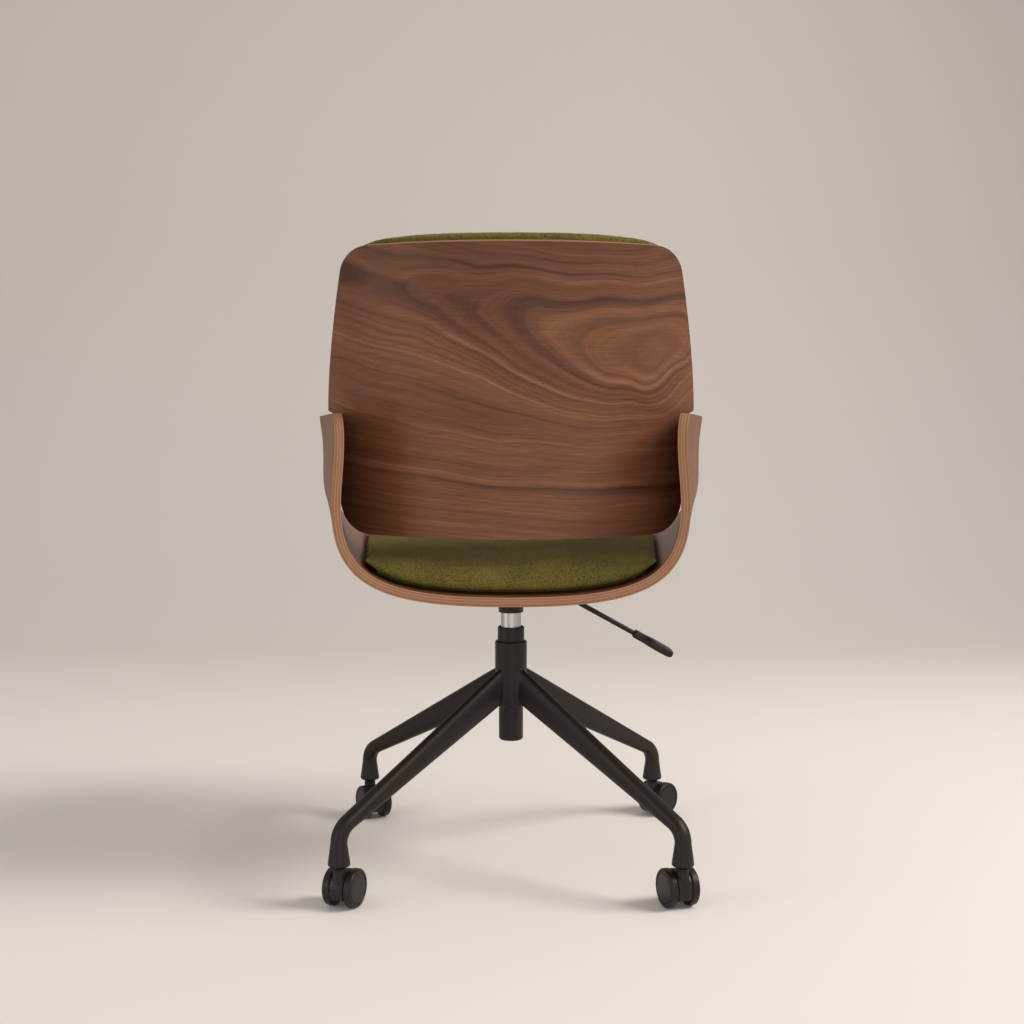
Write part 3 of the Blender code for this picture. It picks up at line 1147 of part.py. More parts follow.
def make_casters(materials, base_axis):
    plastic, steel = materials["black_plastic"], materials["steel"]
    hood_mesh = make_hood_mesh(materials)
    to_side = Matrix.Rotation(math.pi / 2, 4, "Y")
    wheel = turned("wheel_form", wheel_profile(), plastic, WHEEL_SIDES, turn=to_side, flats_down=True)
    wheel_mesh = settled_mesh(wheel)
    axle_profile = solid_rod(AXLE_RADIUS, -AXLE_HALF_LENGTH, AXLE_HALF_LENGTH, EDGE_CHAMFER / 2)
    axle_mesh = settled_mesh(turned("axle_form", axle_profile, steel, SMALL_ROUND, turn=to_side))
    foot = BOSS_BOTTOM + STEM_FLOOR + SEAT_GAP
    collar_low = BOSS_TOP + SEAT_GAP
    stem_profile = [(0, foot), (STEM_FOOT_RADIUS, foot), (STEM_FOOT_RADIUS, collar_low),
                    (BOSS_RADIUS, collar_low), (BOSS_RADIUS, collar_low + STEM_COLLAR),
                    (STEM_RADIUS, collar_low + STEM_COLLAR), (STEM_RADIUS, STEM_TOP - EDGE_CHAMFER),
                    (STEM_RADIUS - EDGE_CHAMFER, STEM_TOP), (0, STEM_TOP)]
    stem_mesh = settled_mesh(turned("stem_form", stem_profile, steel, SMALL_ROUND))
    for place, (side, end, degrees) in CASTERS.items():
        spot = Vector((side * CASTER_SPACING / 2, end * CASTER_SPACING / 2, 0))
        turn = math.radians(degrees)
        swivel = add_axis(f"caster_axis_{place}", spot, base_axis, turn)
        stem = add_object(f"caster_stem_{place}", stem_mesh, steel)
        stem.location = spot
        carry(base_axis, [stem])
        hood = add_object(f"caster_hood_{place}", hood_mesh, plastic)
        hood.location = spot
        hood.rotation_euler = (0, 0, turn)
        axle_spot = spot + Matrix.Rotation(turn, 3, "Z") @ Vector((0, CASTER_TRAIL, WHEEL_RADIUS))
        pieces = [hood]
        axle = add_object(f"caster_axle_{place}", axle_mesh, steel)
        wheels = [add_object(f"wheel_{letter}_{place}", wheel_mesh, plastic) for letter in "ab"]
        for piece, extra in ((axle, 0.0), (wheels[0], 0.0), (wheels[1], math.pi)):
            piece.location = axle_spot
            piece.rotation_euler = (0, 0, turn + extra)
            pieces.append(piece)
        carry(swivel, pieces)


def build():
    clear_scene()
    materials = make_materials()
    base_axis = add_axis("base_axis", (0, 0, 0))
    swivel_axis = add_axis("seat_swivel_axis", (0, 0, COLUMN_FLOOR_TOP), base_axis)
    lift_axis = add_axis("seat_lift_axis", (0, 0, CYLINDER_BOTTOM), swivel_axis)
    lever_axis = add_axis("lever_axis", (LEVER_PIVOT_X, 0, LEVER_PIVOT_Z), lift_axis)
    pin_axis = add_axis("release_pin_axis", (0, 0, PIN_TOP), lift_axis)
    carry(base_axis, [make_star_base(materials)] + make_column(materials))
    make_casters(materials, base_axis)
    carry(swivel_axis, make_piston_rod(materials))
    seat_pieces = make_gas_cylinder(materials)
    seat_pieces += [make_taper_socket(materials), make_mechanism_plate(materials)]
    seat_pieces.append(make_mechanism_pan(materials))
    seat_pieces += make_lever_bracket(materials) + make_fasteners(materials)
    seat_pieces += [make_seat_shell(materials), make_seat_board(materials), make_seat_cushion(materials)]
    seat_pieces += [make_back_panel(materials), make_back_board(materials), make_back_cushion(materials)]
    seat_pieces += make_arm_brackets(materials)
    carry(lift_axis, seat_pieces)
    carry(lever_axis, make_lever(materials))
    carry(pin_axis, [make_release_pin(materials)])


build()
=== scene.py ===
import json
import math

import bmesh
import bpy
import numpy as np
from mathutils import Matrix, Vector, kdtree, noise


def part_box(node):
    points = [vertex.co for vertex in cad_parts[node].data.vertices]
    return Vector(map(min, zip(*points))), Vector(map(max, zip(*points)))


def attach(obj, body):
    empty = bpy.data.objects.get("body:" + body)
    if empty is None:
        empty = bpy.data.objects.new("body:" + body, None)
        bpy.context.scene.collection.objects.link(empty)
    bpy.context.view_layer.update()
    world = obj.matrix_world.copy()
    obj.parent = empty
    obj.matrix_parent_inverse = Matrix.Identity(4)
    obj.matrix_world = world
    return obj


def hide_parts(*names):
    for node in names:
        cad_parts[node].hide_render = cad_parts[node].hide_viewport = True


# Swivel chair in bent walnut plywood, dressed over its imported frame. Metres, Z up, sitter faces -Y.

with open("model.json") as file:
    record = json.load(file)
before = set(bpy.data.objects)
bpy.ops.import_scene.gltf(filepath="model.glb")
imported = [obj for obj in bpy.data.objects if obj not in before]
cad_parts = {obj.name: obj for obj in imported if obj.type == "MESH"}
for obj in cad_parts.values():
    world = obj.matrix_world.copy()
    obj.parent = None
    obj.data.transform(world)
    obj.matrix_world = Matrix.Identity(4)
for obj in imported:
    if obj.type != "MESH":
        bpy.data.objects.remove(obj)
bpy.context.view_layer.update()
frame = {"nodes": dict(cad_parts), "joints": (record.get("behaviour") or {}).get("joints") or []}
nodes = frame["nodes"]
print("frame loaded:", len(nodes), "nodes")


# small makers used by every piece

def between(low, high, share):
    return low + (high - low) * share


def smoothStep(share):
    share = max(0.0, min(1.0, share))
    return share * share * (3 - 2 * share)


def quarterTurn(steps):
    # sine and cosine of even steps up to a right angle, without the start
    turns = [math.pi / 2 * step / steps for step in range(1, steps + 1)]
    return [(math.sin(turn), math.cos(turn)) for turn in turns]


def ovalRing(sides, power=1.0):
    # (across, up) round an oval with half sizes of 1, boxier as the power falls
    ring = []
    for step in range(sides):
        turn = 2 * math.pi * step / sides
        ring.append([math.copysign(abs(part) ** power, part) for part in (math.cos(turn), math.sin(turn))])
    return ring


def setAll(target, values):
    for name, value in values.items():
        setattr(target, name, value)


def makeObject(name, mesh):
    made = bpy.data.objects.new(name, mesh)
    bpy.context.scene.collection.objects.link(made)
    return made


def makeFromForm(name, bm, merge=True):
    # object of a bmesh form, which is used up
    if merge:
        bmesh.ops.remove_doubles(bm, verts=bm.verts, dist=1e-6)
        bmesh.ops.recalc_face_normals(bm, faces=bm.faces)
    mesh = bpy.data.meshes.new(name)
    bm.to_mesh(mesh)
    bm.free()
    return makeObject(name, mesh)


def bakeObject(source, name):
    # plain mesh of a piece with its modifiers applied, the helper removed
    bpy.context.view_layer.update()
    depsgraph = bpy.context.evaluated_depsgraph_get()
    mesh = bpy.data.meshes.new_from_object(source.evaluated_get(depsgraph))
    mesh.name = name
    bpy.data.objects.remove(source, do_unlink=True)
    return makeObject(name, mesh)


def modify(piece, kind, values):
    modifier = piece.modifiers.new(kind.lower(), kind)
    setAll(modifier, values)
    return modifier


def smoothFaces(piece, degrees=35.0):
    piece.data.shade_smooth()
    piece.data.set_sharp_from_angle(angle=math.radians(degrees))
    return piece


def spunForm(name, profile, sides=72, closed=False, turn=None, place=None, degrees=35.0):
    # (radius, height) points spun about Z, then laid in place
    bm = bmesh.new()
    verts = [bm.verts.new((radius, 0.0, height)) for radius, height in profile]
    edges = [bm.edges.new(pair) for pair in zip(verts, verts[1:])]
    if closed:
        edges.append(bm.edges.new((verts[-1], verts[0])))
    bmesh.ops.spin(bm, geom=verts + edges, axis=(0, 0, 1), cent=(0, 0, 0), steps=sides, angle=2 * math.pi)
    for matrix in (turn, place):
        if matrix is not None:
            bmesh.ops.transform(bm, matrix=matrix, verts=bm.verts)
    return smoothFaces(makeFromForm(name, bm), degrees)


def softCorners(profile, radius, steps=4):
    # rounds every inner point of an open (radius, height) profile that turns sharply
    points = [Vector(point) for point in profile]
    soft = [points[0]]
    for before, corner, after in zip(points, points[1:], points[2:]):
        toBefore, toAfter = before - corner, after - corner
        reach = min(radius, toBefore.length * 0.45, toAfter.length * 0.45)
        turn = math.pi - toBefore.angle(toAfter, 0.0)
        if reach < 5e-5 or turn < math.radians(12):
            soft.append(corner)
            continue
        start = corner + toBefore.normalized() * reach
        end = corner + toAfter.normalized() * reach
        for step in range(steps + 1):
            share = step / steps
            soft.append(start.lerp(corner, share).lerp(corner.lerp(end, share), share))
    soft.append(points[-1])
    return [(max(0.0, point.x), point.y) for point in soft]


def loftForm(name, rings):
    bm = bmesh.new()
    loops = [[bm.verts.new(point) for point in ring] for ring in rings]
    for low, high in zip(loops, loops[1:]):
        for i in range(len(low)):
            bm.faces.new((low[i - 1], low[i], high[i], high[i - 1]))
    bm.faces.new(list(reversed(loops[0])))
    bm.faces.new(loops[-1])
    return smoothFaces(makeFromForm(name, bm))


def joinForms(name, forms):
    bm = bmesh.new()
    for form in forms:
        bm.from_mesh(form.data)
        bpy.data.objects.remove(form, do_unlink=True)
    return makeFromForm(name, bm, False)


def cutWith(piece, tool, name):
    modify(piece, "BOOLEAN", {"operation": "DIFFERENCE", "object": tool, "solver": "EXACT"})
    result = bakeObject(piece, name)
    bpy.data.objects.remove(tool, do_unlink=True)
    return result


def softenEdges(piece, name, width, degrees=32.0):
    modify(piece, "BEVEL", {"width": width, "segments": 3, "limit_method": "ANGLE",
                            "angle_limit": math.radians(degrees)})
    return smoothFaces(bakeObject(piece, name), degrees)


def nodeCopy(node, name, softWidth=0.0):
    # merged copy of a CAD node, its edges eased where a width is given
    bm = bmesh.new()
    bm.from_mesh(nodes[node].data)
    bmesh.ops.remove_doubles(bm, verts=bm.verts, dist=1e-6)
    bmesh.ops.dissolve_limit(bm, angle_limit=math.radians(0.5), verts=bm.verts, edges=bm.edges)
    piece = makeFromForm(name, bm, False)
    return softenEdges(piece, name, softWidth) if softWidth else smoothFaces(piece)


def camelName(words):
    first, *rest = words.split("_")
    return first + "".join(word.capitalize() for word in rest)


def dress(piece, material):
    piece.data.materials.clear()
    piece.data.materials.append(material)


def fitPiece(piece, body, slot, material, *replaced):
    # a piece that already carries its materials is given none
    if material is not None:
        dress(piece, material)
    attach(piece, body)
    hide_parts(*replaced)


# node tree helpers

def feed(tree, socket, value):
    if isinstance(value, bpy.types.NodeSocket):
        tree.links.new(value, socket)
    else:
        socket.default_value = value


def wire(tree, node, inputs):
    for name, value in inputs.items():
        feed(tree, node.inputs[name], value)


def put(tree, kind, inputs=None, settings=None):
    made = tree.nodes.new(kind)
    setAll(made, settings or {})
    wire(tree, made, inputs or {})
    return made


def calc(tree, operation, *values):
    return put(tree, "ShaderNodeMath", dict(enumerate(values)), {"operation": operation}).outputs[0]


def spread(tree, value, low, high, toLow=0.0, toHigh=1.0, kind="SMOOTHSTEP"):
    inputs = dict(enumerate((value, low, high, toLow, toHigh)))
    return put(tree, "ShaderNodeMapRange", inputs, {"interpolation_type": kind}).outputs[0]


def layered(tree, colour, *coats):
    # lays coats of (share, colour) over the first colour
    for share, coat in coats:
        colour = put(tree, "ShaderNodeMix", {0: share, 6: colour, 7: coat}, {"data_type": "RGBA"}).outputs[2]
    return colour


def noiseOf(tree, vector, scale, detail, roughness):
    inputs = {"Vector": vector, "Scale": scale, "Detail": detail, "Roughness": roughness}
    return put(tree, "ShaderNodeTexNoise", inputs).outputs[0]


def stretchedNoise(tree, vector, scale, detail, roughness, offset=(0, 0, 0)):
    inputs = {"Vector": vector, "Location": offset, "Scale": scale}
    return noiseOf(tree, put(tree, "ShaderNodeMapping", inputs).outputs[0], 1.0, detail, roughness)


def aboutMiddle(tree, value, weight, start):
    # start, moved by a noise's weighted distance from its middle
    return calc(tree, "MULTIPLY_ADD", calc(tree, "SUBTRACT", value, 0.5), weight, start)


def uvOf(tree, layer):
    return put(tree, "ShaderNodeUVMap", settings={"uv_map": layer}).outputs[0]


def partsOf(tree, vector):
    return put(tree, "ShaderNodeSeparateXYZ", {"Vector": vector}).outputs


def objectPlace(tree):
    return put(tree, "ShaderNodeTexCoord").outputs["Object"]


def startMaterial(name, colour, roughness):
    material = bpy.data.materials.new(name)
    material.use_nodes = True
    material.diffuse_color = (*colour, 1.0)
    shader = material.node_tree.nodes["Principled BSDF"]
    shader.inputs["Base Color"].default_value = (*colour, 1.0)
    shader.inputs["Roughness"].default_value = roughness
    return material, material.node_tree, shader


def addBump(tree, shader, height, strength, distance):
    bump = put(tree, "ShaderNodeBump", {"Height": height, "Strength": strength, "Distance": distance})
    wire(tree, shader, {"Normal": bump.outputs[0]})


# finishes

walnut = {
    "light": (0.325, 0.148, 0.079, 1.0), "middle": (0.164, 0.0610, 0.0278, 1.0), "dark": (0.056, 0.021, 0.012, 1.0),
    "roughness": 0.46, "poreDepth": 0.00012, "waviness": 0.0042, "bandStrength": 0.72, "axisBlur": 0.006,
    "shader": {"Coat Weight": 0.05, "Coat Roughness": 0.35, "Specular IOR Level": 0.26},
    # noises: scale along, scale across, detail, roughness
    "wobble": (14.0, 60.0, 3.0, 0.55), "broad": (2.4, 62.0, 2.0, 0.5), "streaks": (5.0, 260.0, 5.0, 0.68),
    "hairs": (22.0, 1500.0, 3.0, 0.65), "clouds": (7.0, 16.0, 2.0, 0.5), "lines": (3.2, 520.0, 1.0, 0.5),
    "pores": (48.0, 1900.0, 2.0, 0.5),
    "weights": {"streaks": 0.78, "broad": 0.34, "hairs": 0.55, "clouds": 0.26},
    # spreads: from, to, and what they become
    "calm": (0.002, 0.026, 0.30, 1.0), "lateWood": (0.60, 0.78, 0.0, 0.20), "darkerToTop": (0.70, 0.83, 0.0, 0.19),
    "poreShare": (0.58, 0.72, 0.0, 0.58),
}


def makeWalnut(name, bands, axis, offset):
    # uv "grain" holds metres along and across the sheet, uv "figure" holds metres along and the ring's level
    # bands: level and half width in millimetres, strength (dark below zero), side of the figure's axis (-1 below
    # it, 1 above it, 0 both)
    material, tree, shader = startMaterial(name, walnut["middle"][:3], walnut["roughness"])

    def grainNoise(kind, vector):
        alongScale, acrossScale, detail, roughness = walnut[kind]
        return stretchedNoise(tree, vector, (alongScale, acrossScale, 1.0), detail, roughness, offset)

    uv, weights = uvOf(tree, "grain"), walnut["weights"]
    along, across = partsOf(tree, uv)[:2]
    level = partsOf(tree, uvOf(tree, "figure"))[1]
    level = aboutMiddle(tree, grainNoise("wobble", uv), walnut["waviness"], level)
    flow = put(tree, "ShaderNodeCombineXYZ", {"X": along, "Y": level}).outputs[0]
    hairs, clouds = grainNoise("hairs", uv), grainNoise("clouds", uv)
    # the wood is plainer round the eye of the figure
    calm = 1.0 if axis is None else spread(tree, level, *walnut["calm"])
    tone = aboutMiddle(tree, grainNoise("streaks", flow), calc(tree, "MULTIPLY", calm, weights["streaks"]), 0.5)
    for kind, part in (("broad", grainNoise("broad", flow)), ("hairs", hairs), ("clouds", clouds)):
        tone = aboutMiddle(tree, part, weights[kind], tone)
    # thin late-wood lines: only where the ring noise peaks
    lateWood = spread(tree, grainNoise("lines", flow), *walnut["lateWood"])
    tone = calc(tree, "SUBTRACT", tone, calc(tree, "MULTIPLY", calm, lateWood))
    uneven = calc(tree, "MULTIPLY_ADD", clouds, 0.9, 0.55)
    sides = {0: uneven}
    if axis is not None:
        line = calc(tree, "MULTIPLY_ADD", along, axis[1], axis[0])
        above = spread(tree, calc(tree, "SUBTRACT", across, line), -walnut["axisBlur"], walnut["axisBlur"])
        sides[1] = calc(tree, "MULTIPLY", uneven, above)
        sides[-1] = calc(tree, "MULTIPLY", uneven, calc(tree, "SUBTRACT", 1.0, above))
        # the sheet is darker towards its top
        tone = calc(tree, "SUBTRACT", tone, spread(tree, across, *walnut["darkerToTop"]))
    for place, half, strength, side in bands:
        away = calc(tree, "DIVIDE", calc(tree, "SUBTRACT", level, place / 1000), half / 1000)
        hill = calc(tree, "EXPONENT", calc(tree, "MULTIPLY", calc(tree, "MULTIPLY", away, away), -1.0))
        tone = calc(tree, "MULTIPLY_ADD", calc(tree, "MULTIPLY", hill, sides[side]),
                    strength * walnut["bandStrength"], tone)
    poreShare = spread(tree, grainNoise("pores", uv), *walnut["poreShare"])
    colour = layered(tree, walnut["dark"], (spread(tree, tone, 0.0, 0.5, kind="LINEAR"), walnut["middle"]),
                     (spread(tree, tone, 0.5, 1.0, kind="LINEAR"), walnut["light"]), (poreShare, walnut["dark"]))
    rough = spread(tree, hairs, 0.2, 0.8, walnut["roughness"] - 0.06, walnut["roughness"] + 0.10, "LINEAR")
    wire(tree, shader, {"Base Color": colour, "Roughness": rough, **walnut["shader"]})
    relief = calc(tree, "SUBTRACT", calc(tree, "MULTIPLY", hairs, 0.4), poreShare)
    addBump(tree, shader, relief, 0.5, walnut["poreDepth"])
    return material


plyEdge = {
    "pale": (0.400, 0.200, 0.098, 1.0), "brown": (0.255, 0.112, 0.052, 1.0), "glue": (0.045, 0.020, 0.012, 1.0),
    "layers": 7.0, "drift": 0.05, "oddShare": 0.7, "fibreDepth": 0.0002,
    "ownTone": (0.3, 1.0, 0.0, 0.45), "fibres": (0.35, 0.75, 0.0, 0.45), "specks": (0.55, 0.75, 0.0, 0.5),
    "glueShare": (0.1, 0.9, 0.35, 0.85),
}


def makePlyEdge(name):
    # the uv's v runs through the thickness from 0 to 1, so the layers follow the bend
    material, tree, shader = startMaterial(name, plyEdge["brown"][:3], 0.5)
    uv = uvOf(tree, "grain")
    drift = stretchedNoise(tree, uv, (14.0, 0.5, 1.0), 2.0, 0.5)
    through = aboutMiddle(tree, drift, plyEdge["drift"], partsOf(tree, uv)[1])
    depth = calc(tree, "MULTIPLY", through, plyEdge["layers"])
    number, within = calc(tree, "FLOOR", depth), calc(tree, "FRACT", depth)
    odd = calc(tree, "MODULO", number, 2.0)
    glue = calc(tree, "MAXIMUM", spread(tree, within, 0.80, 0.97), spread(tree, within, 0.20, 0.03))
    numbered = put(tree, "ShaderNodeCombineXYZ", {"X": number}).outputs[0]
    ownTone = put(tree, "ShaderNodeTexWhiteNoise", {"Vector": numbered}).outputs[0]
    fibres = stretchedNoise(tree, uv, (46.0, 26.0, 1.0), 4.0, 0.6)
    specks = stretchedNoise(tree, uv, (900.0, 40.0, 1.0), 2.0, 0.5)
    glueShare = spread(tree, ownTone, *plyEdge["glueShare"])
    colour = layered(tree, plyEdge["pale"], (calc(tree, "MULTIPLY", odd, plyEdge["oddShare"]), plyEdge["brown"]),
                     (spread(tree, ownTone, *plyEdge["ownTone"]), plyEdge["brown"]),
                     (spread(tree, fibres, *plyEdge["fibres"]), plyEdge["brown"]),
                     (calc(tree, "MULTIPLY", odd, spread(tree, specks, *plyEdge["specks"])), plyEdge["glue"]),
                     (calc(tree, "MULTIPLY", glue, glueShare), plyEdge["glue"]))
    wire(tree, shader, {"Base Color": colour, "Specular IOR Level": 0.35})
    addBump(tree, shader, fibres, 0.25, plyEdge["fibreDepth"])
    return material


pile = {
    # the lit and darkest tones are lit and shaded copies of the olive: painted light on the loop tops, painted shade
    # between the loops
    "lit": (0.240, 0.190, 0.042, 1.0), "middle": (0.125, 0.097, 0.018, 1.0), "deep": (0.032, 0.022, 0.005, 1.0),
    "loopScale": 860.0, "tufts": (260.0, 3.0, 0.6), "clouds": (16.0, 2.0, 0.5), "loopDepth": 0.0005,
    "shader": {"Sheen Weight": 0.28, "Sheen Roughness": 0.45, "Sheen Tint": (0.50, 0.44, 0.15, 1.0),
               "Specular IOR Level": 0.2},
}


def makePile(name):
    material, tree, shader = startMaterial(name, pile["middle"][:3], 0.92)
    where = objectPlace(tree)
    loops = put(tree, "ShaderNodeTexVoronoi", {"Vector": where, "Scale": pile["loopScale"]}).outputs
    loopTone = put(tree, "ShaderNodeTexWhiteNoise", {"Vector": loops["Position"]}).outputs[0]
    tufts, clouds = noiseOf(tree, where, *pile["tufts"]), noiseOf(tree, where, *pile["clouds"])
    # painted shade: each loop fades from the lit tone in its middle to the darkest tone where it meets the next
    # loops; tufts and clouds then darken and lighten it at random
    colour = layered(tree, pile["lit"], (spread(tree, loops["Distance"], 0.20, 0.80), pile["deep"]),
                     (spread(tree, loopTone, 0.2, 1.0, 0.0, 0.55), pile["middle"]),
                     (spread(tree, tufts, 0.35, 0.70, 0.0, 0.35), pile["deep"]),
                     (spread(tree, clouds, 0.35, 0.70, 0.0, 0.22), pile["lit"]))
    wire(tree, shader, {"Base Color": colour, **pile["shader"]})
    height = calc(tree, "MULTIPLY_ADD", tufts, 0.8, spread(tree, loops["Distance"], 0.0, 0.8, 1.0, 0.0))
    addBump(tree, shader, height, 0.8, pile["loopDepth"])
    return material


def shaded(colour, factor):
    return (*(min(1.0, part * factor) for part in colour), 1.0)


def makeSatin(name, colour, roughness, grainScale, grainDepth, metallic=0.0, variation=0.12, wear=0.0):
    # powder coat, moulded plastic and plain metal share one build with their own values
    material, tree, shader = startMaterial(name, colour, roughness)
    where = objectPlace(tree)
    grain, clouds = noiseOf(tree, where, grainScale, 3.0, 0.6), noiseOf(tree, where, 35.0, 2.0, 0.5)
    base = layered(tree, shaded(colour, 1 - variation), (clouds, shaded(colour, 1 + variation)))
    if wear > 0:
        scuffs = stretchedNoise(tree, where, (120.0, 120.0, 900.0), 2.0, 0.5)
        base = layered(tree, base, (spread(tree, scuffs, 0.62, 0.76, 0.0, wear), (0.10, 0.095, 0.09, 1.0)))
    rough = spread(tree, grain, 0.3, 0.7, roughness - 0.05, roughness + 0.07, "LINEAR")
    wire(tree, shader, {"Base Color": base, "Roughness": rough, "Metallic": metallic})
    if metallic == 0:
        wire(tree, shader, {"Specular IOR Level": 0.32, "Specular Tint": (0.95, 0.88, 0.85, 1.0)})
    addBump(tree, shader, grain, 0.35, grainDepth)
    return material


def makeDrawnSteel(name, colour, roughness):
    # fine lines round the tube from its grinding
    material, tree, shader = startMaterial(name, colour, roughness)
    lines = stretchedNoise(tree, objectPlace(tree), (18.0, 18.0, 5200.0), 3.0, 0.6)
    base = layered(tree, shaded(colour, 0.86), (lines, shaded(colour, 1.08)))
    rough = spread(tree, lines, 0.3, 0.7, roughness - 0.06, roughness + 0.10, "LINEAR")
    wire(tree, shader, {"Base Color": base, "Roughness": rough, "Metallic": 1.0})
    addBump(tree, shader, lines, 0.2, 0.00004)
    return material


panelBands = [
    (8, 3.4, -0.10, 0), (15, 4, 0.10, 0), (22, 1.8, -0.26, 0), (30, 4.5, 0.26, 0), (42, 5, -0.46, 0),
    (55, 4, -0.26, -1), (65.5, 2.7, -0.38, -1), (67, 3, 0.20, 1), (72, 2.2, 0.16, -1), (76, 1, -0.22, -1),
    (79.5, 0.8, -0.26, -1), (83.5, 1, -0.22, -1), (88, 0.8, -0.22, -1), (92.5, 0.9, 0.30, -1), (99, 1, -0.16, -1),
    (108, 1.4, -0.20, -1), (130, 0.8, 0.20, -1), (162, 1.4, -0.18, -1), (178, 3, 0.18, -1), (184.5, 3.6, -0.40, -1),
    (189, 1, -0.20, -1), (222.6, 1.2, -0.20, -1), (76, 1.2, -0.24, 1), (81.5, 1, 0.18, 1), (90, 1, -0.22, 1),
    (96, 0.9, -0.20, 1), (104, 1, -0.16, 1),
]
shellBands = [(30, 3, -0.22, 0), (-45, 4, -0.20, 0), (110, 3, 0.20, 0), (-120, 5, -0.22, 0)]
panelWalnut = makeWalnut("panelWalnut", panelBands, (0.748, 0.29), (3.1, 1.7, 0.4))
shellWalnut = makeWalnut("shellWalnut", shellBands, None, (8.3, 5.2, 0.9))
plyEdgeWood = makePlyEdge("plyEdgeWood")
olivePile = makePile("olivePile")
blackPowder = makeSatin("blackPowder", (0.0100, 0.0072, 0.0066), 0.46, 2600.0, 0.00010, wear=0.05)
blackNylon = makeSatin("blackNylon", (0.0120, 0.0092, 0.0088), 0.40, 3800.0, 0.00006)
tubeBlack = makeSatin("tubeBlack", (0.0095, 0.0068, 0.0062), 0.42, 1800.0, 0.00005)
bumperRubber = makeSatin("bumperRubber", (0.020, 0.020, 0.020), 0.8, 1500.0, 0.0001)
acetalWhite = makeSatin("acetalWhite", (0.74, 0.73, 0.69), 0.45, 1200.0, 0.00003, variation=0.03)
zincSteel = makeSatin("zincSteel", (0.56, 0.55, 0.52), 0.32, 900.0, 0.00003, metallic=1.0, variation=0.06)
cylinderSteel = makeDrawnSteel("cylinderSteel", (0.54, 0.53, 0.52), 0.36)
print("finishes made")


# the two bent sheets

shell = {
    "thickness": 0.0124, "underside": 0.3838, "floorReach": 0.1550, "halfWidth": 0.2226,
    "cornerPull": 0.0212, "widestZ": 0.5080, "lowerPull": 0.0370, "waist": 0.2140, "waistZ": 0.5750,
    "topHalfWidth": 0.2180, "top": 0.6265, "split": 0.62, "rearY": 0.2070, "rearLean": 0.0230,
    "frontY": -0.2620, "armFrontY": 0.0300, "riseStart": 0.30, "flareTop": 0.215, "flareFall": 0.66,
    "flareLeast": 0.045, "topFall": 0.042, "rearCorner": 0.0250, "frontCorner": 0.0240,
    "lowerColumns": 44, "upperColumns": 30, "crowding": 1.6, "rows": 40, "edgeSoftness": 0.0009,
    # drifts of the veneer's lines: size, scale along, scale across, seed
    "drifts": ((0.055, 2.6, 7.0, 4.7), (0.012, 9.0, 26.0, 1.3)),
}
panel = {
    "thickness": 0.0120, "radius": 0.2800, "bottom": 0.4677, "top": 0.8317, "bottomY": 0.1950,
    "topY": 0.2690, "reclinePower": 1.30, "topHalfWidth": 0.2092, "shoulderHalfWidth": 0.2405,
    "shoulderRise": 0.0010, "tailHalfWidth": 0.2312, "footHalfWidth": 0.2235, "shoulderDrop": 0.0055,
    "topPower": 1.5, "footPower": 0.6, "topCorner": 0.0280, "bottomCorner": 0.0400, "columns": 96,
    "rows": 90, "edgeSoftness": 0.0009,
}


def bezier(points, share):
    first, second, third, fourth = map(Vector, points)
    rest = 1 - share
    return (first * rest ** 3 + second * 3 * rest * rest * share
            + third * 3 * rest * share * share + fourth * share ** 3)


def cornerShift(distance, radius):
    if distance >= radius:
        return 0.0
    inside = radius - max(0.0, distance)
    return radius - math.sqrt(radius * radius - inside * inside)


def inwardPoint(surface, a, b, depth, step=1e-4):
    alongA = surface(a + step, b) - surface(a - step, b)
    alongB = surface(a, b + step) - surface(a, b - step)
    return surface(a, b) + alongA.cross(alongB).normalized() * depth


def shellOutline(share):
    s = shell
    if share <= s["split"]:
        points = ((0.0, s["underside"]), (s["floorReach"], s["underside"]),
                  (s["halfWidth"], s["underside"] + s["cornerPull"]), (s["halfWidth"], s["widestZ"]))
        return bezier(points, share / s["split"])
    points = ((s["halfWidth"], s["widestZ"]), (s["halfWidth"], s["widestZ"] + s["lowerPull"]),
              (s["waist"], s["waistZ"]), (s["topHalfWidth"], s["top"]))
    return bezier(points, (share - s["split"]) / (1 - s["split"]))


def heightShare(z):
    return (z - shell["underside"]) / (shell["top"] - shell["underside"])


def shellRearLine(z):
    return shell["rearY"] + shell["rearLean"] * heightShare(z)


def shellSurface(share, y):
    x, z = shellOutline(abs(share))
    forward = shellRearLine(z) - y
    flare = max(shell["flareLeast"], shell["flareTop"] - shell["flareFall"] * (shell["top"] - z))
    x += flare * forward * x / shell["halfWidth"]
    z -= shell["topFall"] * forward * heightShare(z)
    return Vector((math.copysign(x, share), y, z))


def shellEdges(share):
    z = shellOutline(abs(share))[1]
    rear = shellRearLine(z) - cornerShift(shell["top"] - z, shell["rearCorner"])
    rise = smoothStep((abs(share) - shell["riseStart"]) / (1 - shell["riseStart"]))
    front = between(shell["frontY"], shell["armFrontY"], rise)
    return rear, front + cornerShift(shell["top"] - z, shell["frontCorner"])


def panelSurface(x, z):
    rise = max(0.0, (z - panel["bottom"]) / (panel["top"] - panel["bottom"]))
    line = between(panel["bottomY"], panel["topY"], rise ** panel["reclinePower"])
    sweep = panel["radius"] - math.sqrt(panel["radius"] ** 2 - x * x)
    return Vector((x, line - sweep, z))


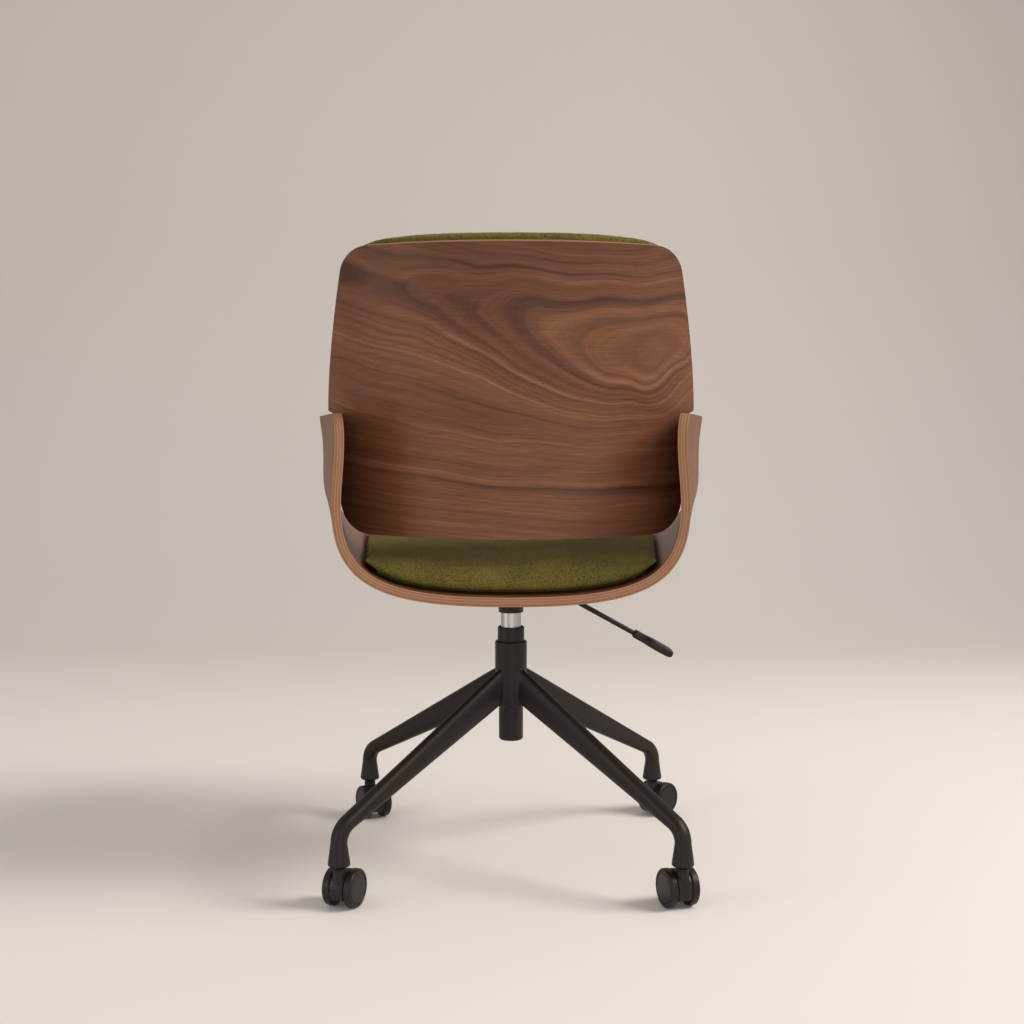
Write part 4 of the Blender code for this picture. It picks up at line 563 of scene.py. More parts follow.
def panelHalfWidth(z):
    p = panel
    shoulder = shell["top"] + p["shoulderRise"]
    tail = shoulder - p["shoulderDrop"]
    if z >= shoulder:
        fall = (z - shoulder) / (p["top"] - shoulder)
        width = between(p["shoulderHalfWidth"], p["topHalfWidth"], fall ** p["topPower"])
    elif z >= tail:
        width = between(p["tailHalfWidth"], p["shoulderHalfWidth"], smoothStep((z - tail) / p["shoulderDrop"]))
    else:
        drop = (tail - z) / (tail - p["bottom"])
        width = between(p["tailHalfWidth"], p["footHalfWidth"], drop ** p["footPower"])
    width -= cornerShift(p["top"] - z, p["topCorner"])
    return width - cornerShift(z - p["bottom"], p["bottomCorner"])


def closedSheet(bm, outer, inner):
    # two grids of points joined at their border; gives the grids' faces with their places, and the border's faces
    rows, columns = len(outer), len(outer[0])
    sides = [[[bm.verts.new(point) for point in row] for row in grid] for grid in (outer, inner)]
    faces, rims = [], []
    for i in range(rows - 1):
        for j in range(columns - 1):
            places = ((i, j), (i + 1, j), (i + 1, j + 1), (i, j + 1))
            faces += [(bm.faces.new([grid[a][b] for a, b in places]), places) for grid in sides]
    border = [(i, 0) for i in range(rows)] + [(rows - 1, j) for j in range(1, columns)]
    border += [(i, columns - 1) for i in range(rows - 2, -1, -1)]
    border += [(0, j) for j in range(columns - 2, 0, -1)]
    for (i, j), (k, m) in zip(border, border[1:] + border[:1]):
        corners = (sides[0][i][j], sides[0][k][m], sides[1][k][m], sides[1][i][j])
        if (corners[0].co - corners[1].co).length >= 1e-7:
            rims.append(bm.faces.new(corners))
    return faces, rims


def bentSheet(name, outer, inner, maps, faceMaterial, edgeSoftness):
    # the uv maps hold metres of grain, or depth on the border
    bm = bmesh.new()
    layers = {key: bm.loops.layers.uv.new(key) for key in maps}
    faces, rims = closedSheet(bm, outer, inner)
    for face, places in faces:
        for loop, (a, b) in zip(face.loops, places):
            for key, values in maps.items():
                loop[layers[key]].uv = values[a][b]
    travelled = 0.0
    for face in rims:
        face.material_index = 1
        end = travelled + (face.verts[0].co - face.verts[1].co).length
        for loop, uv in zip(face.loops, ((travelled, 0), (end, 0), (end, 1), (travelled, 1))):
            for layer in layers.values():
                loop[layer].uv = uv
        travelled = end
    bmesh.ops.dissolve_degenerate(bm, edges=bm.edges, dist=1e-7)
    piece = makeFromForm(name, bm)
    for material in (faceMaterial, plyEdgeWood):
        piece.data.materials.append(material)
    return softenEdges(piece, name, edgeSoftness, 50.0)


def makeShell():
    half = [shell["split"] * step / shell["lowerColumns"] for step in range(shell["lowerColumns"])]
    for step in range(shell["upperColumns"] + 1):
        left = 1 - step / shell["upperColumns"]
        half.append(1 - (1 - shell["split"]) * left ** shell["crowding"])
    outer, inner, grain = [], [], []
    along, before = 0.0, None
    for share in [-share for share in reversed(half[1:])] + half:
        rear, front = shellEdges(share)
        places = [between(rear, front, row / shell["rows"]) for row in range(shell["rows"] + 1)]
        outer.append([shellSurface(share, y) for y in places])
        inner.append([inwardPoint(shellSurface, share, y, shell["thickness"]) for y in places])
        x, z = shellOutline(abs(share))
        now = Vector((math.copysign(x, share), z))
        along += (now - before).length if before is not None else 0.0
        before = now
        grain.append([(along, y) for y in places])
    grain = [[(u - along / 2, v) for u, v in row] for row in grain]
    figure = [[(u, v + sum(size * noise.noise((u * alongScale, v * acrossScale, seed))
                           for size, alongScale, acrossScale, seed in shell["drifts"])) for u, v in row]
              for row in grain]
    return bentSheet("walnutShell", outer, inner, {"grain": grain, "figure": figure}, shellWalnut,
                     shell["edgeSoftness"])


# ring lines of the panel's veneer: level of the ring, then places along it (across, height), all in millimetres
ringMarks = {
    0: [(-180, 694)],
    8: [(-201, 718), (-157, 692), (-178, 679)],
    14: [(-119, 709)],
    22: [(-218, 748), (-150, 741), (-109, 737), (-81, 711), (-113, 676), (-169, 659), (-224, 693)],
    33: [(-32, 735)],
    44: [(-213, 776), (-118, 767), (-29, 767), (0, 764), (8, 751), (-2, 733), (-57, 685), (-126, 655), (-203, 666)],
    51: [(35, 757)],
    57: [(66, 766)],
    60: [(110, 778)],
    62: [(204, 808)],
    66: [(201, 792), (142, 772), (95, 750), (44, 717), (-5, 684), (-42, 666), (-104, 646), (-152, 645), (-214, 667)],
    70: [(204, 825), (132, 803), (37, 792), (-71, 786), (-165, 787), (-213, 796)],
    79: [(213, 759), (111, 728), (20, 684), (-36, 655), (-104, 635), (-153, 634), (-233, 670)],
    80: [(173, 835), (61, 816), (-47, 800), (-142, 797), (-212, 811)],
    93: [(218, 724), (112, 695), (38, 670), (-36, 637), (-117, 621), (-163, 622), (-236, 651)],
    100: [(61, 833), (-47, 820), (-164, 821)],
    112: [(216, 680), (113, 653), (-11, 620), (-137, 603), (-205, 609)],
    130: [(204, 630), (107, 607), (14, 590), (-105, 582), (-209, 586)],
    160: [(201, 587), (82, 569), (-42, 557), (-171, 556)],
    186: [(202, 554), (115, 545), (20, 532), (-74, 527), (-208, 527)],
    223: [(211, 517), (20, 499), (-74, 489), (-208, 488)],
}


def bendShape(squared):
    return np.where(squared > 0, 0.5 * squared * np.log(np.maximum(squared, 1e-12)), 0.0)


def ringField():
    # thin plate laid through the ring marks; gives the ring level anywhere on the sheet
    places = np.array([(x, z) for marks in ringMarks.values() for x, z in marks]) / 1000
    levels = np.array([level for level, marks in ringMarks.items() for _ in marks]) / 1000
    count = len(places)
    plate = bendShape(((places[:, None] - places[None]) ** 2).sum(-1)) + 2e-4 * np.eye(count)
    flat = np.column_stack([np.ones(count), places])
    system = np.block([[plate, flat], [flat.T, np.zeros((3, 3))]])
    weights = np.linalg.solve(system, np.concatenate([levels, np.zeros(3)]))

    def levelAt(x, z):
        squared = (x - places[:, 0]) ** 2 + (z - places[:, 1]) ** 2
        return float(weights[:count] @ bendShape(squared) + weights[count:] @ (1.0, x, z))

    return levelAt


def makePanel():
    p = panel
    shoulder = shell["top"] + p["shoulderRise"]
    marks = {shoulder, p["top"] - p["topCorner"], p["bottom"] + p["bottomCorner"]}
    marks.update(between(p["bottom"], p["top"], step / p["rows"]) for step in range(p["rows"] + 1))
    for step, (sine, _) in enumerate(quarterTurn(12), 1):
        marks.add(p["top"] - p["topCorner"] * (1 - sine))
        marks.add(p["bottom"] + p["bottomCorner"] * (1 - sine))
        marks.add(shoulder - p["shoulderDrop"] * step / 12)
    outer, inner, grain, figure = [], [], [], []
    levelAt = ringField()
    for z in sorted(marks):
        if outer and z - outer[-1][0].z < 2e-5:
            continue
        half = panelHalfWidth(z)
        across = [half * math.sin(math.pi * (step / p["columns"] - 0.5)) for step in range(p["columns"] + 1)]
        outer.append([panelSurface(x, z) for x in across])
        inner.append([inwardPoint(panelSurface, x, z, p["thickness"]) for x in across])
        grain.append([(p["radius"] * math.asin(x / p["radius"]), z) for x in across])
        figure.append([(u, levelAt(x, z)) for (u, _), x in zip(grain[-1], across)])
    return bentSheet("walnutBack", outer, inner, {"grain": grain, "figure": figure}, panelWalnut, p["edgeSoftness"])


fitPiece(makeShell(), "seat", "veneer", None, "seat_shell")
fitPiece(makePanel(), "seat", "veneer", None, "back_panel")
print("bent sheets made")


# cushions

cushion = {
    "edge": 0.012, "corner": 0.03, "cornerPower": 10, "roundness": 3.0, "voxel": 0.005, "frames": 20,
    "columns": 60, "rows": 54, "heldReach": 0.0045, "room": 0.003, "pileHeight": 0.00055,
    "pileScales": ((330.0, 0.6), (150.0, 0.4)),
    "cloth": {"use_pressure": True, "vertex_group_mass": "held", "quality": 5, "mass": 0.3,
              "tension_stiffness": 12, "compression_stiffness": 12, "shear_stiffness": 6},
}
seatPad = {"span": 0.418, "frontY": -0.2480, "rearY": 0.1930, "top": 0.4480, "boardAndGaps": 0.0061,
           "swell": 0.0040, "cap": 0.024, "pressure": 4.0, "bending": 0.8}
backPad = {"bottom": 0.4780, "top": 0.8376, "topMargin": 0.0060, "lowMargin": 0.0260, "marginReach": 0.04,
           "thickness": 0.0500, "boardAndGaps": 0.0064, "swell": 0.0055, "cap": 0.022, "pressure": 2.0,
           "bending": 4.0}


def padForm(name, place, thickness):
    # flat on its board and full in the middle; also gives the points of the side on the board
    board, front = [], []
    for column in range(cushion["columns"] + 1):
        u = math.sin(math.pi * (column / cushion["columns"] - 0.5))
        board.append([])
        front.append([])
        for row in range(cushion["rows"] + 1):
            v = math.sin(math.pi * (row / cushion["rows"] - 0.5))
            across = u * (1 - cushion["corner"] * abs(v) ** cushion["cornerPower"])
            along = v * (1 - cushion["corner"] * abs(u) ** cushion["cornerPower"])
            power = cushion["roundness"]
            full = ((1 - abs(u) ** power) * (1 - abs(v) ** power)) ** (1 / power)
            board[-1].append(place(across, along, 0.0))
            front[-1].append(place(across, along, between(cushion["edge"], thickness, full)))
    bm = bmesh.new()
    closedSheet(bm, board, front)
    return makeFromForm(name, bm), [point for line in board for point in line]


def pointsOf(piece):
    points = np.empty(len(piece.data.vertices) * 3)
    piece.data.vertices.foreach_get("co", points)
    return points.reshape(-1, 3)


def movePoints(piece, points):
    piece.data.vertices.foreach_set("co", points.ravel())


def inflate(piece, name, rest, pad):
    # remesh, blow up as cloth with the side on the board held, then limit how far it went
    modify(piece, "REMESH", {"mode": "VOXEL", "voxel_size": cushion["voxel"]})
    piece = bakeObject(piece, name)
    tree = kdtree.KDTree(len(rest))
    for number, point in enumerate(rest):
        tree.insert(point, number)
    tree.balance()
    held = piece.vertex_groups.new(name="held")
    still = [vert.index for vert in piece.data.vertices if tree.find(vert.co)[2] < cushion["heldReach"]]
    held.add(still, 1.0, "REPLACE")
    start = pointsOf(piece)
    cloth = modify(piece, "CLOTH", {})
    setAll(cloth.settings, {**cushion["cloth"], "uniform_pressure_force": pad["pressure"],
                            "bending_stiffness": pad["bending"]})
    cloth.settings.effector_weights.gravity = 0.0
    setAll(cloth.point_cache, {"frame_start": 1, "frame_end": cushion["frames"]})
    for number in range(1, cushion["frames"] + 1):
        bpy.context.scene.frame_set(number)
    piece = bakeObject(piece, name)
    bpy.context.scene.frame_set(1)
    moved = pointsOf(piece) - start
    length = np.linalg.norm(moved, axis=1)
    moved *= np.minimum(1.0, pad["cap"] / np.maximum(length, 1e-9))[:, None]
    print(name, "cloth moved at most", round(float(length.max()) * 1000, 1), "mm")
    movePoints(piece, start + moved)
    piece.vertex_groups.clear()
    modify(piece, "SMOOTH", {"factor": 0.5, "iterations": 6})
    modify(piece, "SUBSURF", {"levels": 1, "render_levels": 1})
    return bakeObject(piece, name)


def raisePile(piece):
    # uneven loops of the fabric, as small moves along the normals
    mesh = piece.data
    normals = [vert.normal.copy() for vert in mesh.vertices]
    for vert, normal in zip(mesh.vertices, normals):
        bumpy = sum(noise.noise(vert.co * scale) * weight for scale, weight in cushion["pileScales"])
        vert.co += normal * (cushion["pileHeight"] * bumpy)
    mesh.update()


def seatDepth():
    return seatPad["top"] - shell["underside"] - shell["thickness"] - seatPad["boardAndGaps"]


def seatPlace(across, along, depth):
    y = between(seatPad["frontY"], seatPad["rearY"], (along + 1) / 2)
    near = shell["thickness"] + seatPad["boardAndGaps"]
    rest = inwardPoint(shellSurface, seatPad["span"] * across, y, near)
    return rest + Vector((0, 0, depth * (seatPad["top"] - rest.z) / seatDepth()))


def backPlace(across, along, depth):
    z = between(backPad["bottom"], backPad["top"], (along + 1) / 2)
    level = smoothStep(((z - shell["top"]) / backPad["marginReach"] + 1) / 2)
    straight = max(min(z, panel["top"] - panel["topCorner"]), panel["bottom"] + panel["bottomCorner"])
    half = panelHalfWidth(straight) - between(backPad["lowMargin"], backPad["topMargin"], level)
    near = panel["thickness"] + backPad["boardAndGaps"]
    return inwardPoint(panelSurface, across * half, z, near + depth)


def makeCushions():
    for name, place, full, pad, node in (("seatPad", seatPlace, seatDepth(), seatPad, "seat_cushion"),
                                         ("backPad", backPlace, backPad["thickness"], backPad, "back_cushion")):
        form, rest = padForm(name + "Form", place, full - pad["swell"])
        piece = inflate(form, name, rest, pad)
        # the pad swells, but it stays in the room that its solid has
        low, high = (np.array(corner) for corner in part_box(node))
        movePoints(piece, np.clip(pointsOf(piece), low - cushion["room"], high + cushion["room"]))
        raisePile(piece)
        smoothFaces(piece, 180.0)
        fitPiece(piece, "seat", "fabric", olivePile, node)
        print(name, "made:", len(piece.data.vertices), "points")


makeCushions()


# repeats: one form in, the whole set of them out

def startSpreadTree(name, sockets):
    tree = bpy.data.node_groups.new(name, "GeometryNodeTree")
    keys = {}
    for title, kind in {"Geometry": "Geometry", **sockets, "Finish": "Material"}.items():
        socket = tree.interface.new_socket(title, in_out="INPUT", socket_type="NodeSocket" + kind)
        keys[title] = socket.identifier
    tree.interface.new_socket("Geometry", in_out="OUTPUT", socket_type="NodeSocketGeometry")
    return tree, keys, put(tree, "NodeGroupInput").outputs


def finishSpreadTree(tree, entry, points, placing):
    placed = put(tree, "GeometryNodeInstanceOnPoints", {"Points": points, "Instance": entry["Geometry"], **placing})
    real = put(tree, "GeometryNodeRealizeInstances", {"Geometry": placed.outputs[0]})
    dressed = put(tree, "GeometryNodeSetMaterial", {"Geometry": real.outputs[0], "Material": entry["Finish"]})
    put(tree, "NodeGroupOutput", {"Geometry": dressed.outputs[0]})


def makeRingTree():
    tree, keys, entry = startSpreadTree("legsRoundHub", {"Legs": "Int", "First Turn": "Float"})
    line = put(tree, "GeometryNodeMeshLine", {"Count": entry["Legs"], "Offset": (0, 0, 0)})
    share = calc(tree, "DIVIDE", put(tree, "GeometryNodeInputIndex").outputs[0], entry["Legs"])
    turn = calc(tree, "MULTIPLY_ADD", share, 2 * math.pi, entry["First Turn"])
    euler = put(tree, "ShaderNodeCombineXYZ", {"Z": turn})
    rotation = put(tree, "FunctionNodeEulerToRotation", {"Euler": euler.outputs[0]})
    finishSpreadTree(tree, entry, line.outputs[0], {"Rotation": rotation.outputs[0]})
    return tree, keys


def makeRectangleTree():
    tree, keys, entry = startSpreadTree("fastenerRectangle", {"Space X": "Float", "Space Y": "Float"})
    grid = put(tree, "GeometryNodeMeshGrid", {"Size X": entry["Space X"], "Size Y": entry["Space Y"],
                                              "Vertices X": 2, "Vertices Y": 2})
    finishSpreadTree(tree, entry, grid.outputs[0], {})
    return tree, keys


def spreadForm(form, name, makeTree, values):
    tree, keys = makeTree()
    modifier = modify(form, "NODES", {"node_group": tree})
    for title, value in values.items():
        modifier[keys[title]] = value
    return bakeObject(form, name)


# star base: four legs round the hub, welded and ground

base = {
    "spacing": 0.4340, "slope": math.radians(26.6), "lineHeight": 0.2555, "rootTall": 0.0473,
    "kneeTall": 0.0203, "rootWide": 0.0150, "kneeWide": 0.0205, "start": 0.0100, "kneeBend": 0.0280,
    "sleeve": 0.0137, "sleeveBottom": 0.0560, "sleeveChamfer": 0.0025, "sides": 40, "roundness": 2.4,
    "hubRadius": 0.02210, "hubTop": 0.3075, "hubBottom": 0.2155, "hubChamfer": 0.003, "stemHole": 0.0058,
    "hubSoftness": 0.0012, "stemDepth": 0.035, "voxel": 0.00145, "weldReach": 0.052, "weldFade": 0.02,
    "weldLeast": 0.12, "weldPasses": 14, "weldUnder": 0.03, "weldSpare": 0.006, "cutSpare": 0.02,
}
column = {
    "cylinder": 0.0140, "cylinderTopDrop": 0.0008, "tube": 0.01840, "lowerTube": 0.01680, "bore": 0.01640,
    "lowerBore": 0.01480, "bottom": 0.1688, "top": 0.3275, "rim": 0.0010, "recess": 0.0055,
    "recessRadius": 0.0125, "floorTop": 0.1768, "rodBore": 0.0058, "bushBottom": 0.2445, "taperTop": 0.2983,
    "gap": 0.0003, "softness": 0.0008, "well": 0.0034, "wellDepth": 0.020, "cylinderWall": 0.0018,
    "wall": 0.003, "panWall": 0.0020, "flangeRadius": 0.0210, "flangeTall": 0.0020,
}


def legRing(radius, height, pitch, tall, wide):
    ring = []
    for side, up in ovalRing(base["sides"], 2 / base["roundness"]):
        up *= tall / 2
        ring.append(Vector((radius + up * math.sin(pitch), side * wide / 2, height + up * math.cos(pitch))))
    return ring


def makeLegForm():
    b = base
    reach = b["spacing"] / math.sqrt(2)
    bend = math.pi / 2 - b["slope"]
    tangent = b["kneeBend"] * math.tan(bend / 2)
    bendStart = reach - tangent * math.cos(b["slope"])
    kneeEnd = b["lineHeight"] - reach * math.tan(b["slope"]) - tangent
    rings = []
    for step in range(25):
        radius = between(b["start"], bendStart, step / 24)
        share = radius / bendStart
        rings.append(legRing(radius, b["lineHeight"] - radius * math.tan(b["slope"]), b["slope"],
                             between(b["rootTall"], b["kneeTall"], share),
                             between(b["rootWide"], b["kneeWide"], share)))
    for step in range(1, 17):
        pitch = b["slope"] + bend * step / 16
        rings.append(legRing(reach - b["kneeBend"] + b["kneeBend"] * math.sin(pitch),
                             kneeEnd + b["kneeBend"] * math.cos(pitch), pitch,
                             between(b["kneeTall"], b["kneeWide"], step / 16), b["kneeWide"]))
    foot, low = 2 * b["sleeve"], b["sleeveBottom"] + b["sleeveChamfer"]
    for step in range(1, 13):
        wide = between(b["kneeWide"], foot, step / 12)
        rings.append(legRing(reach, between(kneeEnd, low, step / 12), math.pi / 2, wide, wide))
    for sine, cosine in quarterTurn(6):
        wide = foot - 2 * b["sleeveChamfer"] * (1 - cosine)
        rings.append(legRing(reach, low - b["sleeveChamfer"] * sine, math.pi / 2, wide, wide))
    return loftForm("legForm", rings)


def makeBase():
    b, c = base, column
    legs = spreadForm(makeLegForm(), "legs", makeRingTree,
                      {"Legs": 4, "First Turn": math.radians(45), "Finish": blackPowder})
    hubProfile = softCorners([(0, b["hubBottom"]), (b["hubRadius"] - b["hubChamfer"], b["hubBottom"]),
                              (b["hubRadius"], b["hubBottom"] + b["hubChamfer"]), (b["hubRadius"], b["hubTop"]),
                              (0, b["hubTop"])], b["hubSoftness"])
    joined = joinForms("baseForm", [legs, spunForm("hub", hubProfile, 96)])
    modify(joined, "REMESH", {"mode": "VOXEL", "voxel_size": b["voxel"]})
    joined = bakeObject(joined, "baseForm")
    weld = joined.vertex_groups.new(name="weld")
    for vert in joined.data.vertices:
        strength = b["weldLeast"]
        if b["hubBottom"] - b["weldUnder"] <= vert.co.z <= b["hubTop"] - b["weldSpare"]:
            fade = (b["weldReach"] - math.hypot(vert.co.x, vert.co.y)) / b["weldFade"]
            strength = max(strength, min(1.0, fade))
        weld.add([vert.index], strength, "REPLACE")
    modify(joined, "SMOOTH", {"factor": 0.5, "iterations": b["weldPasses"], "vertex_group": "weld"})
    joined = bakeObject(joined, "baseForm")
    under, over, gap = b["hubBottom"] - b["cutSpare"], b["hubTop"] + b["cutSpare"], c["gap"]
    bore = [(0, under), (c["lowerTube"] + gap, under), (c["lowerTube"] + gap, b["hubBottom"]),
            (c["tube"] + gap, c["taperTop"]), (c["tube"] + gap, over), (0, over)]
    tools = [spunForm("hubBore", bore, 96)]
    holeTop, holeLow = b["sleeveBottom"] + b["stemDepth"], b["sleeveBottom"] - b["cutSpare"]
    hole = [(0, holeLow), (b["stemHole"], holeLow), (b["stemHole"], holeTop), (0, holeTop)]
    for side in (-1, 1):
        for end in (-1, 1):
            spot = Matrix.Translation((side * b["spacing"] / 2, end * b["spacing"] / 2, 0))
            tools.append(spunForm("stemBore", hole, 32, place=spot))
    return smoothFaces(cutWith(joined, joinForms("bores", tools), "starBase"), 40.0)


fitPiece(makeBase(), "base", "black_metal", blackPowder, "star_base")
print("star base made")


# gas spring column

def makeColumn():
    c = column
    tube = [(c["recessRadius"], c["bottom"]), (c["lowerTube"] - 2 * c["rim"], c["bottom"]),
            (c["lowerTube"], c["bottom"] + 2 * c["rim"]), (c["lowerTube"], base["hubBottom"]),
            (c["tube"], c["taperTop"]), (c["tube"], c["top"] - c["rim"]), (c["tube"] - c["rim"], c["top"]),
            (c["bore"], c["top"] - c["rim"]), (c["bore"], c["bushBottom"] - c["gap"]),
            (c["lowerBore"], c["bushBottom"] - c["gap"]), (c["lowerBore"], c["floorTop"]),
            (c["rodBore"], c["floorTop"]), (c["rodBore"], c["bottom"] + c["recess"]),
            (c["recessRadius"], c["bottom"] + c["recess"])]
    piece = spunForm("columnTube", softCorners(tube + tube[:1], c["softness"], 3)[:-1], 96, closed=True)
    fitPiece(piece, "base", "black_metal", tubeBlack, "column_tube")
    low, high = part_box("gas_cylinder")
    socketLow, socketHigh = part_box("taper_socket")
    wellFloor = high.z - c["wellDepth"]
    inside = c["cylinder"] - c["cylinderWall"]
    rod = [(0, wellFloor), (c["well"], wellFloor), (c["well"], high.z), (inside, high.z),
           (c["cylinder"] - c["cylinderTopDrop"], high.z - 0.001), (c["cylinder"], socketLow.z),
           (c["cylinder"], low.z + 0.001), (c["cylinder"] - 0.001, low.z), (inside, low.z),
           (inside, wellFloor - 0.004), (0, wellFloor - 0.004)]
    fitPiece(spunForm("gasCylinder", rod, 96), "seat", "steel", cylinderSteel, "gas_cylinder")
    outer = c["cylinder"] + c["gap"] + c["wall"]
    bore = c["cylinder"] - c["cylinderTopDrop"] + c["gap"]
    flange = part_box("mechanism_pan")[0].z + c["panWall"] + c["gap"]
    flangeTop = flange + c["flangeTall"]
    collar = [(c["cylinder"] + c["gap"], socketLow.z), (outer - 0.0006, socketLow.z), (outer, socketLow.z + 0.0010),
              (outer, flange), (c["flangeRadius"], flange), (c["flangeRadius"], flangeTop), (outer, flangeTop),
              (outer, socketHigh.z), (bore, socketHigh.z), (bore, high.z - 0.001)]
    piece = spunForm("taperSocket", collar, 96, closed=True)
    fitPiece(piece, "seat", "black_metal", tubeBlack, "taper_socket")


makeColumn()
print("column made")


# casters

caster = {
    "radius": 0.0250, "width": 0.0110, "rounding": 0.0030, "faceShare": 0.82, "faceStep": 0.0006,
    "hoodWidth": 0.0180, "sideGap": 0.0004, "axle": 0.0030, "axleGap": 0.0003, "capWall": 0.0026,
    # steps of the profile: off the tread and the inner side, then off the face's edge and the outer side
    "innerSteps": [(-0.0055, 0), (-0.0050, 0), (-0.0012, 0.0008), (0, 0.0022)],
    "faceSteps": [(0.0006, 0), (0, -0.0004), (-0.0004, -0.0011), (-0.0010, -0.0011), (-0.0014, -0.0004),
                  (-0.0022, -0.0003)],
}


def wheelTurn(place):
    # the wheel pair's axle line comes from the record's own joint
    for joint in frame["joints"]:
        if joint["name"] == "wheel_a_roll_" + place:
            return Vector(joint["pos_m"]), Vector(joint["axis"])
    raise ValueError("no axle for " + place)


def wheelProfile():
    inner = caster["hoodWidth"] / 2 + caster["sideGap"]
    outer = inner + caster["width"]
    cap, hole = outer - caster["capWall"], caster["axle"] + caster["axleGap"]
    tread, soft, face = caster["radius"], caster["rounding"], caster["faceShare"] * caster["radius"]
    profile = [(0, cap), (hole, cap), (hole, inner)]
    profile += [(tread + across, inner + up) for across, up in caster["innerSteps"]]
    profile.append((tread, outer - soft))
    profile += [(tread - soft * (1 - cosine), outer - soft * (1 - sine)) for sine, cosine in quarterTurn(6)]
    profile += [(face + across, outer + up) for across, up in caster["faceSteps"]]
    return profile + [(0.008, outer - caster["faceStep"]), (0, outer - caster["faceStep"])]


def makeWheels(place):
    spot, axis = wheelTurn(place)
    for letter, way in (("a", 1), ("b", -1)):
        node = f"wheel_{letter}_{place}"
        low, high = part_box(node)
        side = way if ((low + high) / 2 - spot).dot(axis * way) > 0 else -way
        turn = Vector((0, 0, 1)).rotation_difference(axis * side).to_matrix().to_4x4()
        piece = spunForm(camelName(node), wheelProfile(), 72, turn=turn, place=Matrix.Translation(spot), degrees=30.0)
        fitPiece(piece, node, "black_plastic", blackNylon, node)


corners = ("rear_left", "rear_right", "front_right", "front_left")
for place in corners:
    makeWheels(place)
for place in corners:
    for part, name, body, slot, finish, soft in (
            ("caster_hood_", "hood_", "caster_" + place, "black_plastic", blackNylon, 0.0006),
            ("caster_stem_", "caster_stem_", "base", "steel", tubeBlack, 0.0),
            ("caster_axle_", "caster_axle_", "caster_" + place, "steel", zincSteel, 0.0)):
        piece = nodeCopy(part + place, camelName(name + place), soft)
        fitPiece(piece, body, slot, finish, part + place)
print("casters made")


# mechanism and lever

lever = {
    "pivotZ": 0.3715, "bendX": -0.0732, "bendRadius": 0.0100, "slope": math.radians(28.97),
    "rodRadius": 0.0034, "rodEnd": 0.1220, "rodStart": -0.0348, "rodGap": 0.0003, "paddleStart": 0.1110,
    "paddleLength": 0.0605, "paddleWide": 0.0270, "neckWide": 0.0135, "thick": 0.0122, "dish": 0.0011,
    "dishStart": 0.42, "dishReach": 0.2, "boxiness": 0.5,
    # share of the paddle's length, width as a share of the neck's or the paddle's, share of the thickness
    "neck": [(0.0, 0.86, 0.78), (0.012, 0.96, 0.88), (0.03, 1.0, 0.92), (0.14, 1.0, 0.92), (0.24, 1.02, 0.92),
             (0.31, 1.22, 0.93)],
    "grip": [(0.38, 0.84, 0.96), (0.44, 0.95, 1.0), (0.52, 0.99, 1.03), (0.60, 1.0, 1.05), (0.76, 0.985, 1.04),
             (0.90, 0.965, 1.0), (0.95, 0.94, 0.94), (0.98, 0.89, 0.82), (1.0, 0.80, 0.60)],
}


def leverPoint(distance):
    return Vector((lever["bendX"] - distance * math.cos(lever["slope"]), 0,
                   lever["pivotZ"] - distance * math.sin(lever["slope"])))


def makeLeverRod():
    tangent = lever["bendRadius"] * math.tan(lever["slope"] / 2)
    stations = [(Vector((lever["rodStart"], 0, lever["pivotZ"])), 0.0)]
    centre = Vector((lever["bendX"] + tangent, 0, lever["pivotZ"] - lever["bendRadius"]))
    for step in range(11):
        angle = lever["slope"] * step / 10
        stations.append((centre + Vector((-math.sin(angle), 0, math.cos(angle))) * lever["bendRadius"], angle))
    stations.append((leverPoint(lever["rodEnd"]), lever["slope"]))
    rings = []
    for middle, pitch in stations:
        up = Vector((-math.sin(pitch), 0, math.cos(pitch)))
        rings.append([middle + (up * rise + Vector((0, across, 0))) * lever["rodRadius"]
                      for across, rise in ovalRing(32)])
    return loftForm("leverRod", rings)


def makeLeverPaddle():
    up = Vector((-math.sin(lever["slope"]), 0, math.cos(lever["slope"])))
    rings = []
    for kind, wide in (("neck", lever["neckWide"]), ("grip", lever["paddleWide"])):
        for share, wideShare, thickShare in lever[kind]:
            middle = leverPoint(lever["paddleStart"] + share * lever["paddleLength"])
            rings.append([])
            for across, rise in ovalRing(48, lever["boxiness"]):
                side = across * wide * wideShare / 2
                dish = lever["dish"] * smoothStep((share - lever["dishStart"]) / lever["dishReach"])
                dish *= max(0.0, rise) ** 2
                dish *= 1 - (side / lever["paddleWide"] * 2) ** 2
                height = rise * lever["thick"] * thickShare / 2 - max(0.0, dish)
                rings[-1].append(middle + Vector((0, side, 0)) + up * height)
    bore, end = lever["rodRadius"] + lever["rodGap"], lever["rodEnd"] - lever["paddleStart"] + lever["rodGap"]
    hole = spunForm("paddleHole", [(0, -0.01), (bore, -0.01), (bore, end), (0, end)], 32,
                    turn=Matrix.Rotation(-math.pi / 2 - lever["slope"], 4, "Y"),
                    place=Matrix.Translation(leverPoint(lever["paddleStart"])))
    return smoothFaces(cutWith(loftForm("leverPaddle", rings), hole, "leverPaddle"), 50.0)


fitPiece(makeLeverRod(), "lever", "black_metal", tubeBlack, "lever_rod")
fitPiece(makeLeverPaddle(), "lever", "black_plastic", blackNylon, "lever_paddle")
for node, body, soft in (("lever_trigger", "lever", 0.0004), ("mechanism_plate", "seat", 0.0006),
                         ("mechanism_pan", "seat", 0.0006), ("lever_bracket", "seat", 0.0002)):
    fitPiece(nodeCopy(node, camelName(node), soft), body, "black_metal", blackPowder, node)


